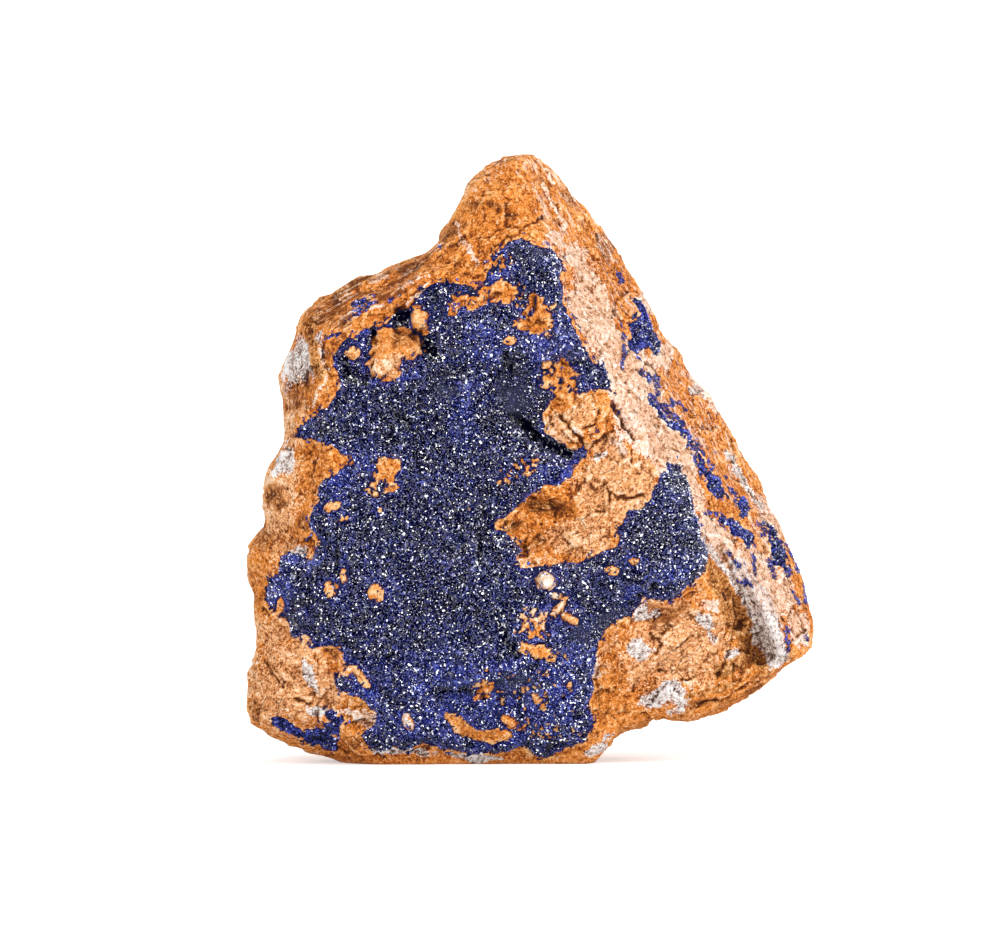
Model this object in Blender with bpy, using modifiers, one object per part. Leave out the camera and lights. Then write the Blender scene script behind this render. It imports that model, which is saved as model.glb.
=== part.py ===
"""Azurite specimen: a druse of dark blue crystals grown over one lump of rusty limonite matrix.

The lump stands on its broken, flat foot. The crystal face looks along -Y, +Z is up and the origin is on
the floor under the middle of the lump. Run with: blender --background --python part.py
"""

import math
import random

import bmesh
import bpy
from mathutils import Matrix, Vector, geometry, noise
from mathutils.bvhtree import BVHTree

MM = 0.001
SEED = 29

# Driving dimensions, in millimetres.
CLEARANCE = 0.32
BED_CLEARANCE = 0.45
BED_TOP = 12.0
CRUST_THICKNESS = 0.7
CRUST_EDGE = 0.35
CRUST_ROOT = 1.1
CRYSTAL_HEIGHT = 0.9
CRYSTAL_PITCH = 1.85
CRYSTAL_JITTER = 0.28 * CRYSTAL_PITCH
CRYSTAL_MARGIN = 0.6 * CRYSTAL_PITCH
BACK_PITCH = 3.4
BACK_JITTER = 0.2
BACK_MARGIN = 0.5 * BACK_PITCH
RIM_REACH = 0.6
BACK_REACH = 2.0
EDGE_STEP = 1.9
EDGE_WANDER = 0.22
LINE_STEP = 1.7
ROW_PITCH = 0.87
ROCK_VOXEL = 1.0
ROCK_TRIANGLES = 3900
FRONT_START = -4.0
# Breakage: height and size of the coarse, middle and fine unevenness, and where the rough back begins.
COARSE_BREAK = (1.9, 13.0)
MIDDLE_BREAK = (1.0, 5.5)
FINE_BREAK = (0.4, 2.6)
ROUGH_START = 16.0
ROUGH_DEPTH = 12.0
FRONT_CALM = 0.35

# The widest outline of the lump as X, Z, clockwise from the peak.
LUMP_OUTLINE = [
    (1.7, 91.0), (3.5, 89.2), (7.2, 84.7), (11.6, 78.7), (13.8, 75.0), (14.4, 73.2), (17.6, 70.0), (19.0, 67.2),
    (19.4, 64.8), (23.0, 61.0), (24.2, 58.7), (26.6, 56.0), (27.2, 53.6), (28.3, 50.9), (32.6, 45.4), (35.0, 42.3),
    (36.0, 39.5), (37.6, 37.4), (38.2, 32.3), (40.0, 31.6), (41.4, 29.2), (42.3, 24.0), (42.7, 20.0), (41.4, 16.8),
    (39.4, 15.5), (37.2, 13.2), (33.5, 10.5), (30.2, 8.7), (25.5, 7.1), (20.9, 6.9), (19.2, 7.6), (16.4, 5.5),
    (13.2, 4.9), (10.6, 1.6), (8.6, -0.6), (2.0, -1.6), (-8.0, -2.5), (-14.0, -2.5), (-21.0, -1.6),
    (-28.5, 0.2), (-33.6, 1.4), (-37.2, 3.1), (-41.6, 6.2), (-42.7, 8.6), (-42.1, 13.1), (-40.6, 16.9),
    (-41.7, 21.0), (-41.0, 24.4), (-42.3, 28.6), (-41.9, 32.0), (-39.3, 35.7), (-39.9, 39.6), (-39.2, 44.4),
    (-37.5, 46.9), (-36.5, 48.2), (-37.2, 52.5), (-37.6, 57.4), (-36.8, 60.4), (-34.8, 63.9), (-34.9, 66.4),
    (-33.2, 68.0), (-30.0, 69.8), (-23.4, 73.0), (-18.3, 75.1), (-14.6, 76.6), (-13.5, 78.4), (-10.4, 85.0),
    (-9.5, 87.0), (-7.8, 88.5), (-3.2, 90.5), (0.0, 91.2),
]
# Rings behind the front outline: Y, size against the outline, rounds of smoothing.
RING_CENTRE = (-2.0, 36.0)
RINGS = [(15.0, 1.0, 0), (23.0, 0.985, 3), (31.0, 0.95, 8), (38.5, 0.88, 12), (45.0, 0.72, 12)]

# The broken faces, each a point on it and the way it faces. The body and the peak are broken separately.
SHARED_FACES = [
    ((18.8, 1.6, 46.4), (0.742, -0.53, 0.41)),  # right-hand flank
    ((0.0, 42.5, 34.0), (0.06, 1.0, 0.06)),  # back
    ((0.0, 38.0, 60.0), (0.10, 0.80, 0.58)),  # upper back slope
    ((-2.0, 25.0, 82.0), (-0.25, 0.86, 0.42)),  # back of the peak
    ((34.0, 31.0, 28.0), (0.72, 0.66, 0.18)),
    ((27.0, 33.0, 12.0), (0.45, 0.55, -0.70)),
    ((-34.0, 31.0, 38.0), (-0.66, 0.74, 0.14)),
    ((-30.0, 34.0, 9.0), (-0.55, 0.50, -0.66)),
    ((-4.0, 39.0, 5.0), (0.05, 0.60, -0.80)),
]
BODY_FACES = [
    ((-8.0, 0.0, 42.0), (-0.02, -1.0, 0.02)),  # crystal field
    ((-6.0, 0.4, 62.0), (-0.06, -1.0, 0.10)),
    ((14.4, 0.4, 56.0), (0.48, -0.86, 0.22)),  # cream bevel beside the flank
    ((20.0, 0.3, 24.5), (0.22, -0.90, -0.38)),  # lower right corner
    ((-8.0, 1.4, 10.5), (0.03, -0.84, -0.54)),  # heel
    ((-30.0, 1.6, 16.0), (-0.38, -0.92, -0.12)),  # lower left
    ((-33.0, 5.0, 6.5), (-0.30, -0.62, -0.72)),
    ((-32.0, 1.8, 40.0), (-0.58, -0.81, 0.02)),  # left shoulder
    ((-31.0, 2.2, 57.5), (-0.72, -0.68, 0.08)),  # left cheek
    ((-22.0, 2.0, 69.4), (-0.36, -0.66, 0.66)),  # upper left bevel
]
PEAK_FACES = [
    ((0.0, 1.2, 76.0), (-0.04, -0.97, 0.24)),
    ((-2.0, 5.6, 88.4), (-0.25, -0.60, 0.76)),
    ((-9.4, 3.4, 80.0), (-0.76, -0.60, 0.22)),
    ((0.0, 10.0, 62.0), (0.0, 0.0, -1.0)),
]

# Lumps (positive) and hollows (negative) on the front: X, Z, radius, height.
FRONT_LUMPS = [
    (-20.2, 62.8, 4.2, 2.3), (-22.0, 59.4, 3.2, 1.7), (-16.6, 67.0, 2.3, 1.6), (-26.5, 62.3, 2.2, 1.2),
    (0.5, 76.5, 6.5, 1.6), (-4.4, 71.2, 3.0, 0.9), (8.2, 52.3, 5.0, 1.5), (4.2, 50.2, 3.6, 1.7),
    (15.0, 44.0, 8.0, 1.3), (11.0, 36.5, 6.0, 1.0), (0.8, 34.8, 4.8, -1.6), (20.0, 32.0, 7.0, 0.8),
    (-35.5, 13.5, 7.0, 1.3), (-37.0, 44.0, 4.0, 1.4), (-34.8, 38.0, 5.0, 1.0), (-40.0, 30.0, 4.5, 1.6),
    (-40.5, 21.5, 3.4, 1.2), (-33.5, 58.5, 4.5, 1.0), (2.4, 27.7, 1.9, 1.3), (-18.4, 6.2, 1.9, 1.4),
    (-11.0, 6.0, 3.0, 1.0), (-5.0, 4.8, 3.4, 1.0), (-26.2, 3.6, 3.0, 1.6), (-27.2, 10.2, 2.6, 1.0),
    (-20.8, 44.8, 2.2, 1.0), (-20.6, 41.6, 1.8, 0.9), (-19.0, 67.6, 1.8, -2.4), (-27.5, 60.2, 3.0, -1.4),
    (-14.6, 62.0, 3.4, -1.0), (-3.5, 55.0, 4.5, -1.1), (-10.0, 52.0, 6.0, 0.6), (-17.0, 27.0, 9.0, 0.7),
    (34.5, 35.5, 4.0, 1.2), (39.0, 26.0, 5.0, 1.3), (19.0, 68.0, 3.0, 1.2), (21.6, 10.8, 3.9, 2.0),
    (30.4, 15.0, 2.4, 1.4), (18.4, 21.4, 3.6, -1.1), (15.0, 14.6, 4.0, 0.9), (-34.0, 8.6, 3.4, 0.9),
    (-32.4, 16.6, 3.0, 0.9), (-12.8, 40.4, 4.2, 0.8), (-17.4, 50.0, 4.6, -0.8), (-22.8, 33.4, 4.4, -0.7),
    (-2.6, 16.8, 4.6, 0.8), (4.4, 24.0, 3.4, -0.7), (17.8, 31.6, 4.0, 0.8), (-11.4, 65.8, 3.6, 0.9),
    (4.8, 74.2, 3.6, 0.9), (-1.4, 31.6, 2.4, -0.9), (-35.6, 26.0, 3.4, 0.9), (-24.2, 22.4, 4.2, 0.7),
]
# Ridges (positive) and cracks (negative) on the front: half width, height, then the line as X, Z.
FRONT_LINES = [
    (2.0, 2.3, [(-32.6, 62.4), (-28.0, 65.6), (-22.5, 68.6), (-15.0, 72.6), (-12.4, 72.6)]),
    (1.7, 1.4, [(-32.4, 61.0), (-30.4, 56.6), (-34.6, 52.0)]),
    (1.8, 1.2, [(-34.0, 48.4), (-28.0, 46.6), (-31.4, 42.0), (-32.6, 35.0)]),
    (1.7, -2.9, [(-2.0, 51.1), (1.2, 48.3), (5.5, 45.7)]),
    (0.9, -1.3, [(12.0, 55.8), (14.0, 51.8), (15.6, 48.6)]),
    (2.7, -3.2, [(26.8, 31.6), (30.4, 25.4), (34.2, 16.6)]),
    (1.5, 1.1, [(29.8, 33.0), (34.2, 25.4), (37.4, 17.8)]),
    (1.5, -2.3, [(-14.2, 10.8), (-8.6, 11.3), (-1.8, 10.6)]),
    (1.6, -1.7, [(-6.4, 41.0), (-7.4, 36.0), (-7.0, 30.4)]),
    (1.1, -1.6, [(-1.6, 39.3), (2.6, 38.6), (6.2, 37.4)]),
    (1.2, 1.0, [(-2.2, 41.2), (3.4, 40.8), (6.8, 39.2)]),
    (1.4, -1.4, [(-3.4, 59.6), (-1.6, 57.4), (-3.0, 55.0)]),
    (1.2, -1.2, [(-28.6, 55.0), (-21.6, 53.2), (-14.6, 55.2)]),
    (1.3, 0.9, [(-26.4, 40.8), (-23.0, 35.4), (-26.0, 30.8)]),
    (1.2, -1.1, [(-16.6, 17.4), (-10.6, 19.4), (-5.6, 16.4)]),
    (1.3, 0.9, [(9.4, 28.8), (14.6, 31.6), (19.0, 37.4)]),
]

# Crystal patches as X, Z loops: the first is the patch's edge, the others are windows of bare rock in it.
MAIN_CRUST = [
    [
        (-1.4, 79.8), (1.1, 78.3), (4.0, 77.0), (5.1, 75.9), (4.3, 72.9), (5.4, 70.0), (7.2, 65.4), (8.4, 62.8),
        (9.8, 61.4), (11.4, 58.2), (12.4, 55.4), (10.2, 56.2), (7.2, 55.7), (5.0, 56.4), (2.4, 54.4), (1.6, 52.8),
        (1.8, 50.6), (3.8, 48.5), (6.6, 47.2), (9.0, 48.4), (7.6, 46.2), (6.0, 43.4), (4.0, 42.2), (2.2, 41.8),
        (-0.4, 40.3), (-2.6, 38.2), (-5.3, 35.9), (-2.6, 34.1), (-1.6, 32.0), (1.8, 29.7), (5.6, 30.4),
        (8.6, 32.4), (12.0, 32.9), (13.6, 33.4), (12.8, 35.4), (14.4, 38.2), (16.2, 37.9), (18.2, 41.4),
        (20.0, 45.0), (21.8, 45.0), (23.4, 41.6), (24.2, 38.6), (25.2, 34.6), (26.4, 31.2), (25.4, 28.8),
        (23.0, 27.0), (20.8, 24.9), (16.8, 25.2), (14.8, 22.6), (11.4, 20.9), (9.9, 18.8), (9.3, 14.4),
        (9.0, 10.2), (9.2, 6.0), (7.9, 3.4), (5.2, 2.4), (3.8, 1.5), (0.8, 1.5), (-1.2, 2.8), (-5.0, 1.8),
        (-9.6, 1.7), (-12.8, 2.4), (-15.4, 3.5), (-18.6, 2.3), (-23.8, 2.3), (-25.2, 4.6), (-23.2, 6.3),
        (-23.2, 8.2), (-25.8, 10.4), (-29.0, 11.4), (-29.3, 13.9), (-27.5, 14.5), (-28.1, 17.7), (-32.2, 18.2),
        (-33.6, 19.6), (-35.4, 19.5), (-36.4, 21.6), (-39.6, 24.4), (-39.6, 28.2), (-37.4, 28.6), (-37.4, 31.2),
        (-34.8, 31.6), (-32.4, 30.8), (-31.2, 33.4), (-33.0, 35.8), (-31.8, 39.6), (-31.4, 42.0), (-28.6, 44.0),
        (-25.6, 45.4), (-28.2, 46.6), (-30.6, 48.2), (-34.9, 49.0), (-34.9, 50.8), (-31.6, 52.8), (-29.2, 55.4),
        (-28.8, 58.2), (-29.4, 61.0), (-27.6, 63.6), (-25.0, 65.7), (-22.2, 66.8), (-21.0, 68.0), (-19.4, 69.6),
        (-15.8, 71.6), (-13.6, 72.8), (-9.8, 73.2), (-7.4, 72.6), (-6.4, 74.6), (-5.2, 76.8), (-3.2, 78.8),
    ],
    [(-22.2, 65.4), (-19.4, 65.6), (-17.6, 64.2), (-18.6, 61.2), (-21.4, 57.3), (-23.9, 60.4), (-23.8, 63.4)],
    [(-7.0, 70.6), (-4.4, 72.7), (-1.9, 71.2), (-2.6, 68.8), (-5.8, 69.2)],
    [(0.6, 69.8), (2.2, 68.4), (3.0, 65.2), (0.6, 64.0), (-1.6, 65.8), (0.0, 67.4)],
    [(4.5, 61.5), (6.6, 59.6), (6.0, 57.9), (3.2, 58.0), (3.8, 59.6)],
    [(-21.8, 46.5), (-19.4, 45.4), (-20.2, 43.2), (-19.4, 41.4), (-21.2, 40.6), (-22.2, 43.2), (-23.0, 44.6)],
    [(-12.8, 8.0), (-10.2, 7.4), (-8.2, 5.2), (-5.2, 5.9), (-2.6, 4.4), (-5.4, 3.5), (-10.2, 4.1), (-12.0, 5.8)],
]
FOOT_PATCH = [[
    (-39.1, 6.9), (-37.7, 7.3), (-35.6, 6.2), (-33.7, 5.3), (-31.4, 6.0), (-30.6, 8.2), (-29.3, 8.6),
    (-27.4, 7.4), (-27.2, 6.0), (-28.8, 4.0), (-28.6, 2.0), (-31.0, 2.0), (-35.2, 3.8), (-38.6, 5.6),
]]
RIM_PATCH = [[(-26.8, 68.2), (-24.4, 69.0), (-22.4, 69.9), (-22.2, 71.0), (-24.4, 70.8), (-27.0, 69.6)]]
FLANK_PATCHES = [
    [[(14.7, 69.6), (16.0, 69.6), (17.0, 67.0), (18.0, 66.2), (17.8, 64.8), (19.2, 63.2), (19.4, 60.4),
      (18.2, 60.8), (16.6, 62.4), (16.2, 60.2), (14.6, 61.6), (14.6, 65.2), (15.4, 67.2)]],
    [[(16.6, 55.6), (18.8, 54.4), (20.0, 52.2), (21.8, 51.2), (23.4, 48.8), (24.0, 47.6), (23.0, 47.2),
      (21.8, 49.4), (19.6, 50.8), (18.2, 52.8), (16.4, 54.8)]],
    [[(24.8, 47.4), (25.8, 48.6), (26.3, 46.8), (26.2, 44.8), (28.2, 42.0), (28.6, 40.0), (27.0, 39.2),
      (26.0, 40.6), (25.2, 43.2), (24.4, 45.8)]],
    [[(27.4, 37.0), (29.0, 37.2), (30.6, 35.8), (32.6, 33.8), (32.6, 32.4), (31.2, 32.2), (29.6, 34.0)]],
    [[(30.6, 40.0), (32.0, 39.6), (32.6, 38.0), (31.8, 36.2), (30.8, 36.6), (30.4, 38.4)]],
    [[(34.2, 35.4), (35.6, 35.2), (37.4, 32.8), (37.8, 30.2), (38.5, 27.8), (37.4, 27.4), (36.0, 29.2),
      (35.0, 32.4)]],
]

ROCK_COLOUR = (0.62, 0.27, 0.07, 1.0)
AZURITE_COLOUR = (0.02, 0.03, 0.16, 1.0)


def clear_scene():
    for obj in list(bpy.data.objects):
        bpy.data.objects.remove(obj)


def material(name, colour, roughness):
    made = bpy.data.materials.new(name)
    made.use_nodes = True
    shader = made.node_tree.nodes["Principled BSDF"]
    shader.inputs["Base Color"].default_value = colour
    shader.inputs["Roughness"].default_value = roughness
    shader.inputs["Metallic"].default_value = 0.0
    return made


def store(bm, obj):
    """Puts a bmesh drawn in millimetres into an object's mesh in metres."""
    bmesh.ops.scale(bm, vec=Vector((MM, MM, MM)), verts=bm.verts)
    bm.to_mesh(obj.data)
    bm.free()


def add_object(name, bm, group, finish):
    obj = bpy.data.objects.new(name, bpy.data.meshes.new(name))
    group.objects.link(obj)
    store(bm, obj)
    obj.data.materials.append(finish)
    return obj


def bmesh_in_mm(obj):
    """The object as its modifiers leave it, as a bmesh in millimetres."""
    graph = bpy.context.evaluated_depsgraph_get()
    mesh = bpy.data.meshes.new_from_object(obj.evaluated_get(graph))
    bm = bmesh.new()
    bm.from_mesh(mesh)
    bpy.data.meshes.remove(mesh)
    bmesh.ops.scale(bm, vec=Vector((1 / MM,) * 3), verts=bm.verts)
    return bm


def keep_largest(bm):
    """Drops every loose chip but the main body."""
    left = set(bm.verts)
    bodies = []
    while left:
        start = left.pop()
        body, edge_of_search = {start}, [start]
        while edge_of_search:
            for edge in edge_of_search.pop().link_edges:
                for vert in edge.verts:
                    if vert in left:
                        left.discard(vert)
                        body.add(vert)
                        edge_of_search.append(vert)
        bodies.append(body)
    largest = max(bodies, key=len)
    bmesh.ops.delete(bm, geom=[v for v in bm.verts if v not in largest], context="VERTS")


def cut_off(bm, point, facing):
    """Breaks away all that lies beyond a plane and closes the break with a flat face."""
    geom = bm.verts[:] + bm.edges[:] + bm.faces[:]
    cut = bmesh.ops.bisect_plane(
        bm, geom=geom, dist=0.0001, plane_co=Vector(point), plane_no=Vector(facing), clear_outer=True
    )
    edges = [e for e in cut["geom_cut"] if isinstance(e, bmesh.types.BMEdge)]
    if edges:
        bmesh.ops.holes_fill(bm, edges=edges)
    bmesh.ops.triangulate(bm, faces=bm.faces)


def rough_block(broken_faces):
    """The outline drawn back through its rings, then broken to shape by flat faces."""
    bm = bmesh.new()
    face = bm.faces.new([bm.verts.new((x, FRONT_START, z)) for x, z in LUMP_OUTLINE])
    front = face
    centre = Vector((RING_CENTRE[0], 0.0, RING_CENTRE[1]))
    for depth, size, rounds in RINGS:
        grown = bmesh.ops.extrude_face_region(bm, geom=[face])
        if face is not front:
            bmesh.ops.delete(bm, geom=[face], context="FACES_ONLY")
        face = next(g for g in grown["geom"] if isinstance(g, bmesh.types.BMFace))
        for vert in face.verts:
            vert.co.y = depth
        for _ in range(rounds):
            bmesh.ops.smooth_vert(
                bm, verts=face.verts[:], factor=0.5, use_axis_x=True, use_axis_y=False, use_axis_z=True
            )
        bmesh.ops.scale(
            bm, vec=Vector((size, 1.0, size)), space=Matrix.Translation(-centre), verts=face.verts[:]
        )
    bmesh.ops.recalc_face_normals(bm, faces=bm.faces)
    bmesh.ops.triangulate(bm, faces=bm.faces)
    for point, facing in broken_faces:
        cut_off(bm, point, facing)
    return bm


def bump(distance, radius):
    """1 at the middle of a feature, easing to 0 at its radius."""
    if distance >= radius:
        return 0.0
    share = 1.0 - (distance / radius) ** 2
    return share * share * (3 - 2 * share)


def distance_to_line(x, z, line):
    spot = Vector((x, z))
    nearest = math.inf
    for start, end in zip(line, line[1:]):
        a, b = Vector(start), Vector(end)
        along = max(0.0, min(1.0, (spot - a).dot(b - a) / (b - a).length_squared))
        nearest = min(nearest, (spot - a.lerp(b, along)).length)
    return nearest


def front_relief(x, z):
    """How far the front stands out of its broken faces at X, Z, in millimetres."""
    relief = sum(height * bump(math.hypot(x - cx, z - cz), radius) for cx, cz, radius, height in FRONT_LUMPS)
    for half_width, height, line in FRONT_LINES:
        relief += height * bump(distance_to_line(x, z, line), half_width)
    return relief


def weathering(place):
    """Uneven breakage from 3-D noise: gentle in front, where the faces are clean, and rougher behind."""
    back_share = max(0.0, min(1.0, (place.y - ROUGH_START) / ROUGH_DEPTH))
    rough = FRONT_CALM + (1.0 - FRONT_CALM) * back_share
    coarse = COARSE_BREAK[0] * noise.noise(place / COARSE_BREAK[1])
    middle = MIDDLE_BREAK[0] * noise.noise(place / MIDDLE_BREAK[1] + Vector((7.0, 3.0, 5.0)))
    fine = FINE_BREAK[0] * noise.noise(place / FINE_BREAK[1] + Vector((1.0, 9.0, 4.0)))
    return rough * coarse + max(rough, 0.75) * middle + fine


def make_matrix(group, finish):
    """The lump of limonite: two broken blocks as one, evened out, weathered, then flat at its foot."""
    bm = rough_block(SHARED_FACES + BODY_FACES)
    peak = rough_block(SHARED_FACES + PEAK_FACES)
    mesh = bpy.data.meshes.new("peak")
    peak.to_mesh(mesh)
    peak.free()
    bm.from_mesh(mesh)
    bpy.data.meshes.remove(mesh)
    rock = add_object("limonite_matrix", bm, group, finish)
    even = rock.modifiers.new("even", "REMESH")
    even.mode = "VOXEL"
    even.voxel_size = ROCK_VOXEL * MM
    bm = bmesh_in_mm(rock)
    keep_largest(bm)
    bmesh.ops.smooth_vert(bm, verts=bm.verts, factor=0.5, use_axis_x=True, use_axis_y=True, use_axis_z=True)
    bm.normal_update()
    moves = []
    for vert in bm.verts:
        frontal = max(0.0, min(1.0, (-vert.normal.y - 0.15) / 0.35))
        raised = Vector((0.0, -1.0, 0.0)) * front_relief(vert.co.x, vert.co.z) * frontal
        moves.append(vert.normal * weathering(vert.co) + raised)
    for vert, move in zip(bm.verts, moves):
        vert.co += move
    store(bm, rock)
    rock.modifiers.clear()
    thin = rock.modifiers.new("thin", "DECIMATE")
    thin.ratio = ROCK_TRIANGLES / (2 * len(rock.data.polygons))
    thin.use_collapse_triangulate = True
    bm = bmesh_in_mm(rock)
    rock.modifiers.clear()
    cut_off(bm, (0.0, 0.0, 0.0), (0.0, 0.0, -1.0))
    keep_largest(bm)
    store(bm, rock)
    return rock


class Ground:
    """A face of the rock seen square on: flat coordinates on it, and the rock's depth below them."""

    def __init__(self, rock_tree, point, facing):
        self.tree = rock_tree
        self.point = Vector(point)
        self.out = Vector(facing).normalized()
        self.across = Vector((0.0, 0.0, 1.0)).cross(-self.out).normalized() * -1.0
        self.up = self.across.cross(-self.out).normalized() * -1.0

    def flat(self, x, z):
        """Where the front view's X, Z falls on this face."""
        slope = self.out.x * (x - self.point.x) + self.out.z * (z - self.point.z)
        place = Vector((x, self.point.y - slope / self.out.y, z)) - self.point
        return Vector((place.dot(self.across), place.dot(self.up)))

    def place(self, flat, height):
        return self.point + self.across * flat.x + self.up * flat.y + self.out * height

    def height(self, flat):
        """Height of the rock's surface over this face."""
        hit = self.tree.ray_cast(self.place(flat, 20.0), -self.out, 45.0)[0]
        return (hit - self.point).dot(self.out) if hit else -3.0

    def lowest(self, flat, reach):
        around = [Vector((math.cos(a), math.sin(a))) * reach for a in (0.0, 1.05, 2.09, 3.14, 4.19, 5.24)]
        return min(self.height(flat + step) for step in [Vector((0.0, 0.0))] + around)


def inside(spot, loop):
    """Whether a spot lies within a closed loop."""
    crossings = 0
    for a, b in zip(loop, loop[1:] + loop[:1]):
        if (a.y > spot.y) != (b.y > spot.y):
            if spot.x < a.x + (spot.y - a.y) / (b.y - a.y) * (b.x - a.x):
                crossings += 1
    return crossings % 2 == 1


def ragged(loop, rng):
    """A loop in short steps, each step's end pushed in or out a little, as crystal edges are."""
    points = []
    for a, b in zip(loop, loop[1:] + loop[:1]):
        steps = max(1, round((b - a).length / EDGE_STEP))
        side = Vector((b.y - a.y, a.x - b.x)).normalized()
        for i in range(steps):
            shift = side * rng.uniform(-EDGE_WANDER, EDGE_WANDER) if i else Vector((0.0, 0.0))
            points.append(a.lerp(b, i / steps) + shift)
    return points


def grown(loop, width):
    """The loop with every corner moved outwards; windows run the other way round and so shrink."""
    area = sum(a.x * b.y - b.x * a.y for a, b in zip(loop, loop[1:] + loop[:1]))
    turn = 1.0 if area > 0 else -1.0
    moved = []
    for before, here, after in zip(loop[-1:] + loop[:-1], loop, loop[1:] + loop[:1]):
        into, out_of = (here - before).normalized(), (after - here).normalized()
        square = Vector((into.y, -into.x))
        side = Vector(((into + out_of).y, -(into + out_of).x))
        side = side.normalized() if side.length > 0.2 else square
        moved.append(here + side * width * turn / max(0.55, side.dot(square)))
    return moved


def line_spots():
    """X, Z spots along every ridge and crack and down both its sides, so that a crust can follow them."""
    spots = []
    for half_width, _, line in FRONT_LINES:
        for start, end in zip(line, line[1:]):
            a, b = Vector(start), Vector(end)
            side = Vector((b.y - a.y, a.x - b.x)).normalized() * half_width
            steps = max(1, round((b - a).length / LINE_STEP))
            for i in range(steps):
                on_line = a.lerp(b, (i + 0.5) / steps)
                spots += [on_line, on_line + side, on_line - side]
    return spots


def filled(loops, pitch, jitter, margin, rng, marked=()):
    """Spots and triangles that fill the first loop outside the others; the loops' spots come first."""
    spots = [p for loop in loops for p in loop]
    edges = []
    start = 0
    for loop in loops:
        edges += [(start + i, start + (i + 1) % len(loop)) for i in range(len(loop))]
        start += len(loop)
    low = Vector((min(p.x for p in spots), min(p.y for p in spots)))
    high = Vector((max(p.x for p in spots), max(p.y for p in spots)))
    for spot in marked:
        if inside(spot, loops[0]) and not any(inside(spot, hole) for hole in loops[1:]):
            if all((spot - p).length > margin for p in spots):
                spots.append(spot)
    taken = spots[:]
    row = 0
    y = low.y
    while y < high.y:
        x = low.x + (row % 2) * pitch / 2
        while x < high.x:
            spot = Vector((x + rng.uniform(-jitter, jitter), y + rng.uniform(-jitter, jitter)))
            if inside(spot, loops[0]) and not any(inside(spot, hole) for hole in loops[1:]):
                if all((spot - p).length > margin for p in taken):
                    spots.append(spot)
            x += pitch
        y += pitch * ROW_PITCH
        row += 1
    verts, _, faces, origins, _, _ = geometry.delaunay_2d_cdt(spots, edges, [], 0, 1e-6)
    kept = []
    for face in faces:
        middle = sum((verts[i] for i in face), Vector((0.0, 0.0))) / len(face)
        if inside(middle, loops[0]) and not any(inside(middle, hole) for hole in loops[1:]):
            kept.append([origins[i][0] for i in face])
    return spots, kept


def sheet(ground, loops, front, back):
    """A closed sheet of a front and a back, each spots, heights and triangles, walled around every loop."""
    bm = bmesh.new()
    sides = []
    for spots, heights, faces in (front, back):
        verts = [bm.verts.new(ground.place(spot, height)) for spot, height in zip(spots, heights)]
        for face in faces:
            bm.faces.new([verts[i] for i in face])
        sides.append(verts)
    near, far = sides
    start = 0
    for loop in loops:
        for i in range(len(loop)):
            a, b = start + i, start + (i + 1) % len(loop)
            bm.faces.new([near[a], near[b], far[b]])
            bm.faces.new([near[a], far[b], far[a]])
        start += len(loop)
    bmesh.ops.recalc_face_normals(bm, faces=bm.faces)
    return bm


def carve(rock, bed):
    """Sinks the bed of a crystal patch into the rock."""
    cutter = add_object("bed", bed, rock.users_collection[0], rock.data.materials[0])
    sink = rock.modifiers.new("bed", "BOOLEAN")
    sink.operation = "DIFFERENCE"
    sink.solver = "EXACT"
    sink.object = cutter
    bm = bmesh_in_mm(rock)
    keep_largest(bm)
    bmesh.ops.triangulate(bm, faces=bm.faces)
    rock.modifiers.clear()
    bpy.data.objects.remove(cutter)
    store(bm, rock)


def crust(name, ground, outline, group, finish, rng, lines=()):
    """One crystal patch; gives back the bed it lies in, to be sunk into the rock."""
    loops = [ragged([ground.flat(x, z) for x, z in loop], rng) for loop in outline]
    rim_count = sum(len(loop) for loop in loops)
    marked = [ground.flat(x, z) for x, z in lines]
    spots, faces = filled(loops, CRYSTAL_PITCH, CRYSTAL_JITTER, CRYSTAL_MARGIN, rng, marked)
    tips = [ground.height(spot) + CRUST_EDGE for spot in spots[:rim_count]]
    for spot in spots[rim_count:]:
        tips.append(ground.height(spot) + CRUST_THICKNESS + rng.uniform(0.0, CRYSTAL_HEIGHT))
    back_spots, back_faces = filled(loops, BACK_PITCH, BACK_JITTER, BACK_MARGIN, rng)
    roots = [ground.lowest(spot, RIM_REACH) - CRUST_ROOT for spot in back_spots[:rim_count]]
    roots += [ground.lowest(spot, BACK_REACH) - CRUST_ROOT for spot in back_spots[rim_count:]]
    add_object(name, sheet(ground, loops, (spots, tips, faces), (back_spots, roots, back_faces)), group, finish)

    wider = [grown(loops[0], CLEARANCE)] + [grown(loop, -CLEARANCE) for loop in loops[1:]]
    bed_spots = [spot for loop in wider for spot in loop] + back_spots[rim_count:]
    above = (bed_spots, [BED_TOP] * len(bed_spots), back_faces)
    rim_depths = [root - 2 * BED_CLEARANCE for root in roots[:rim_count]]
    below = (bed_spots, rim_depths + [root - BED_CLEARANCE for root in roots[rim_count:]], back_faces)
    return sheet(ground, wider, above, below)


def centre_on_floor(objects):
    """Moves the specimen so that the floor's origin is under the middle of its bounding box."""
    spots = [vert.co for obj in objects for vert in obj.data.vertices]
    middle_x = (min(p.x for p in spots) + max(p.x for p in spots)) / 2
    middle_y = (min(p.y for p in spots) + max(p.y for p in spots)) / 2
    for obj in objects:
        obj.data.transform(Matrix.Translation((-middle_x, -middle_y, 0.0)))


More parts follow.
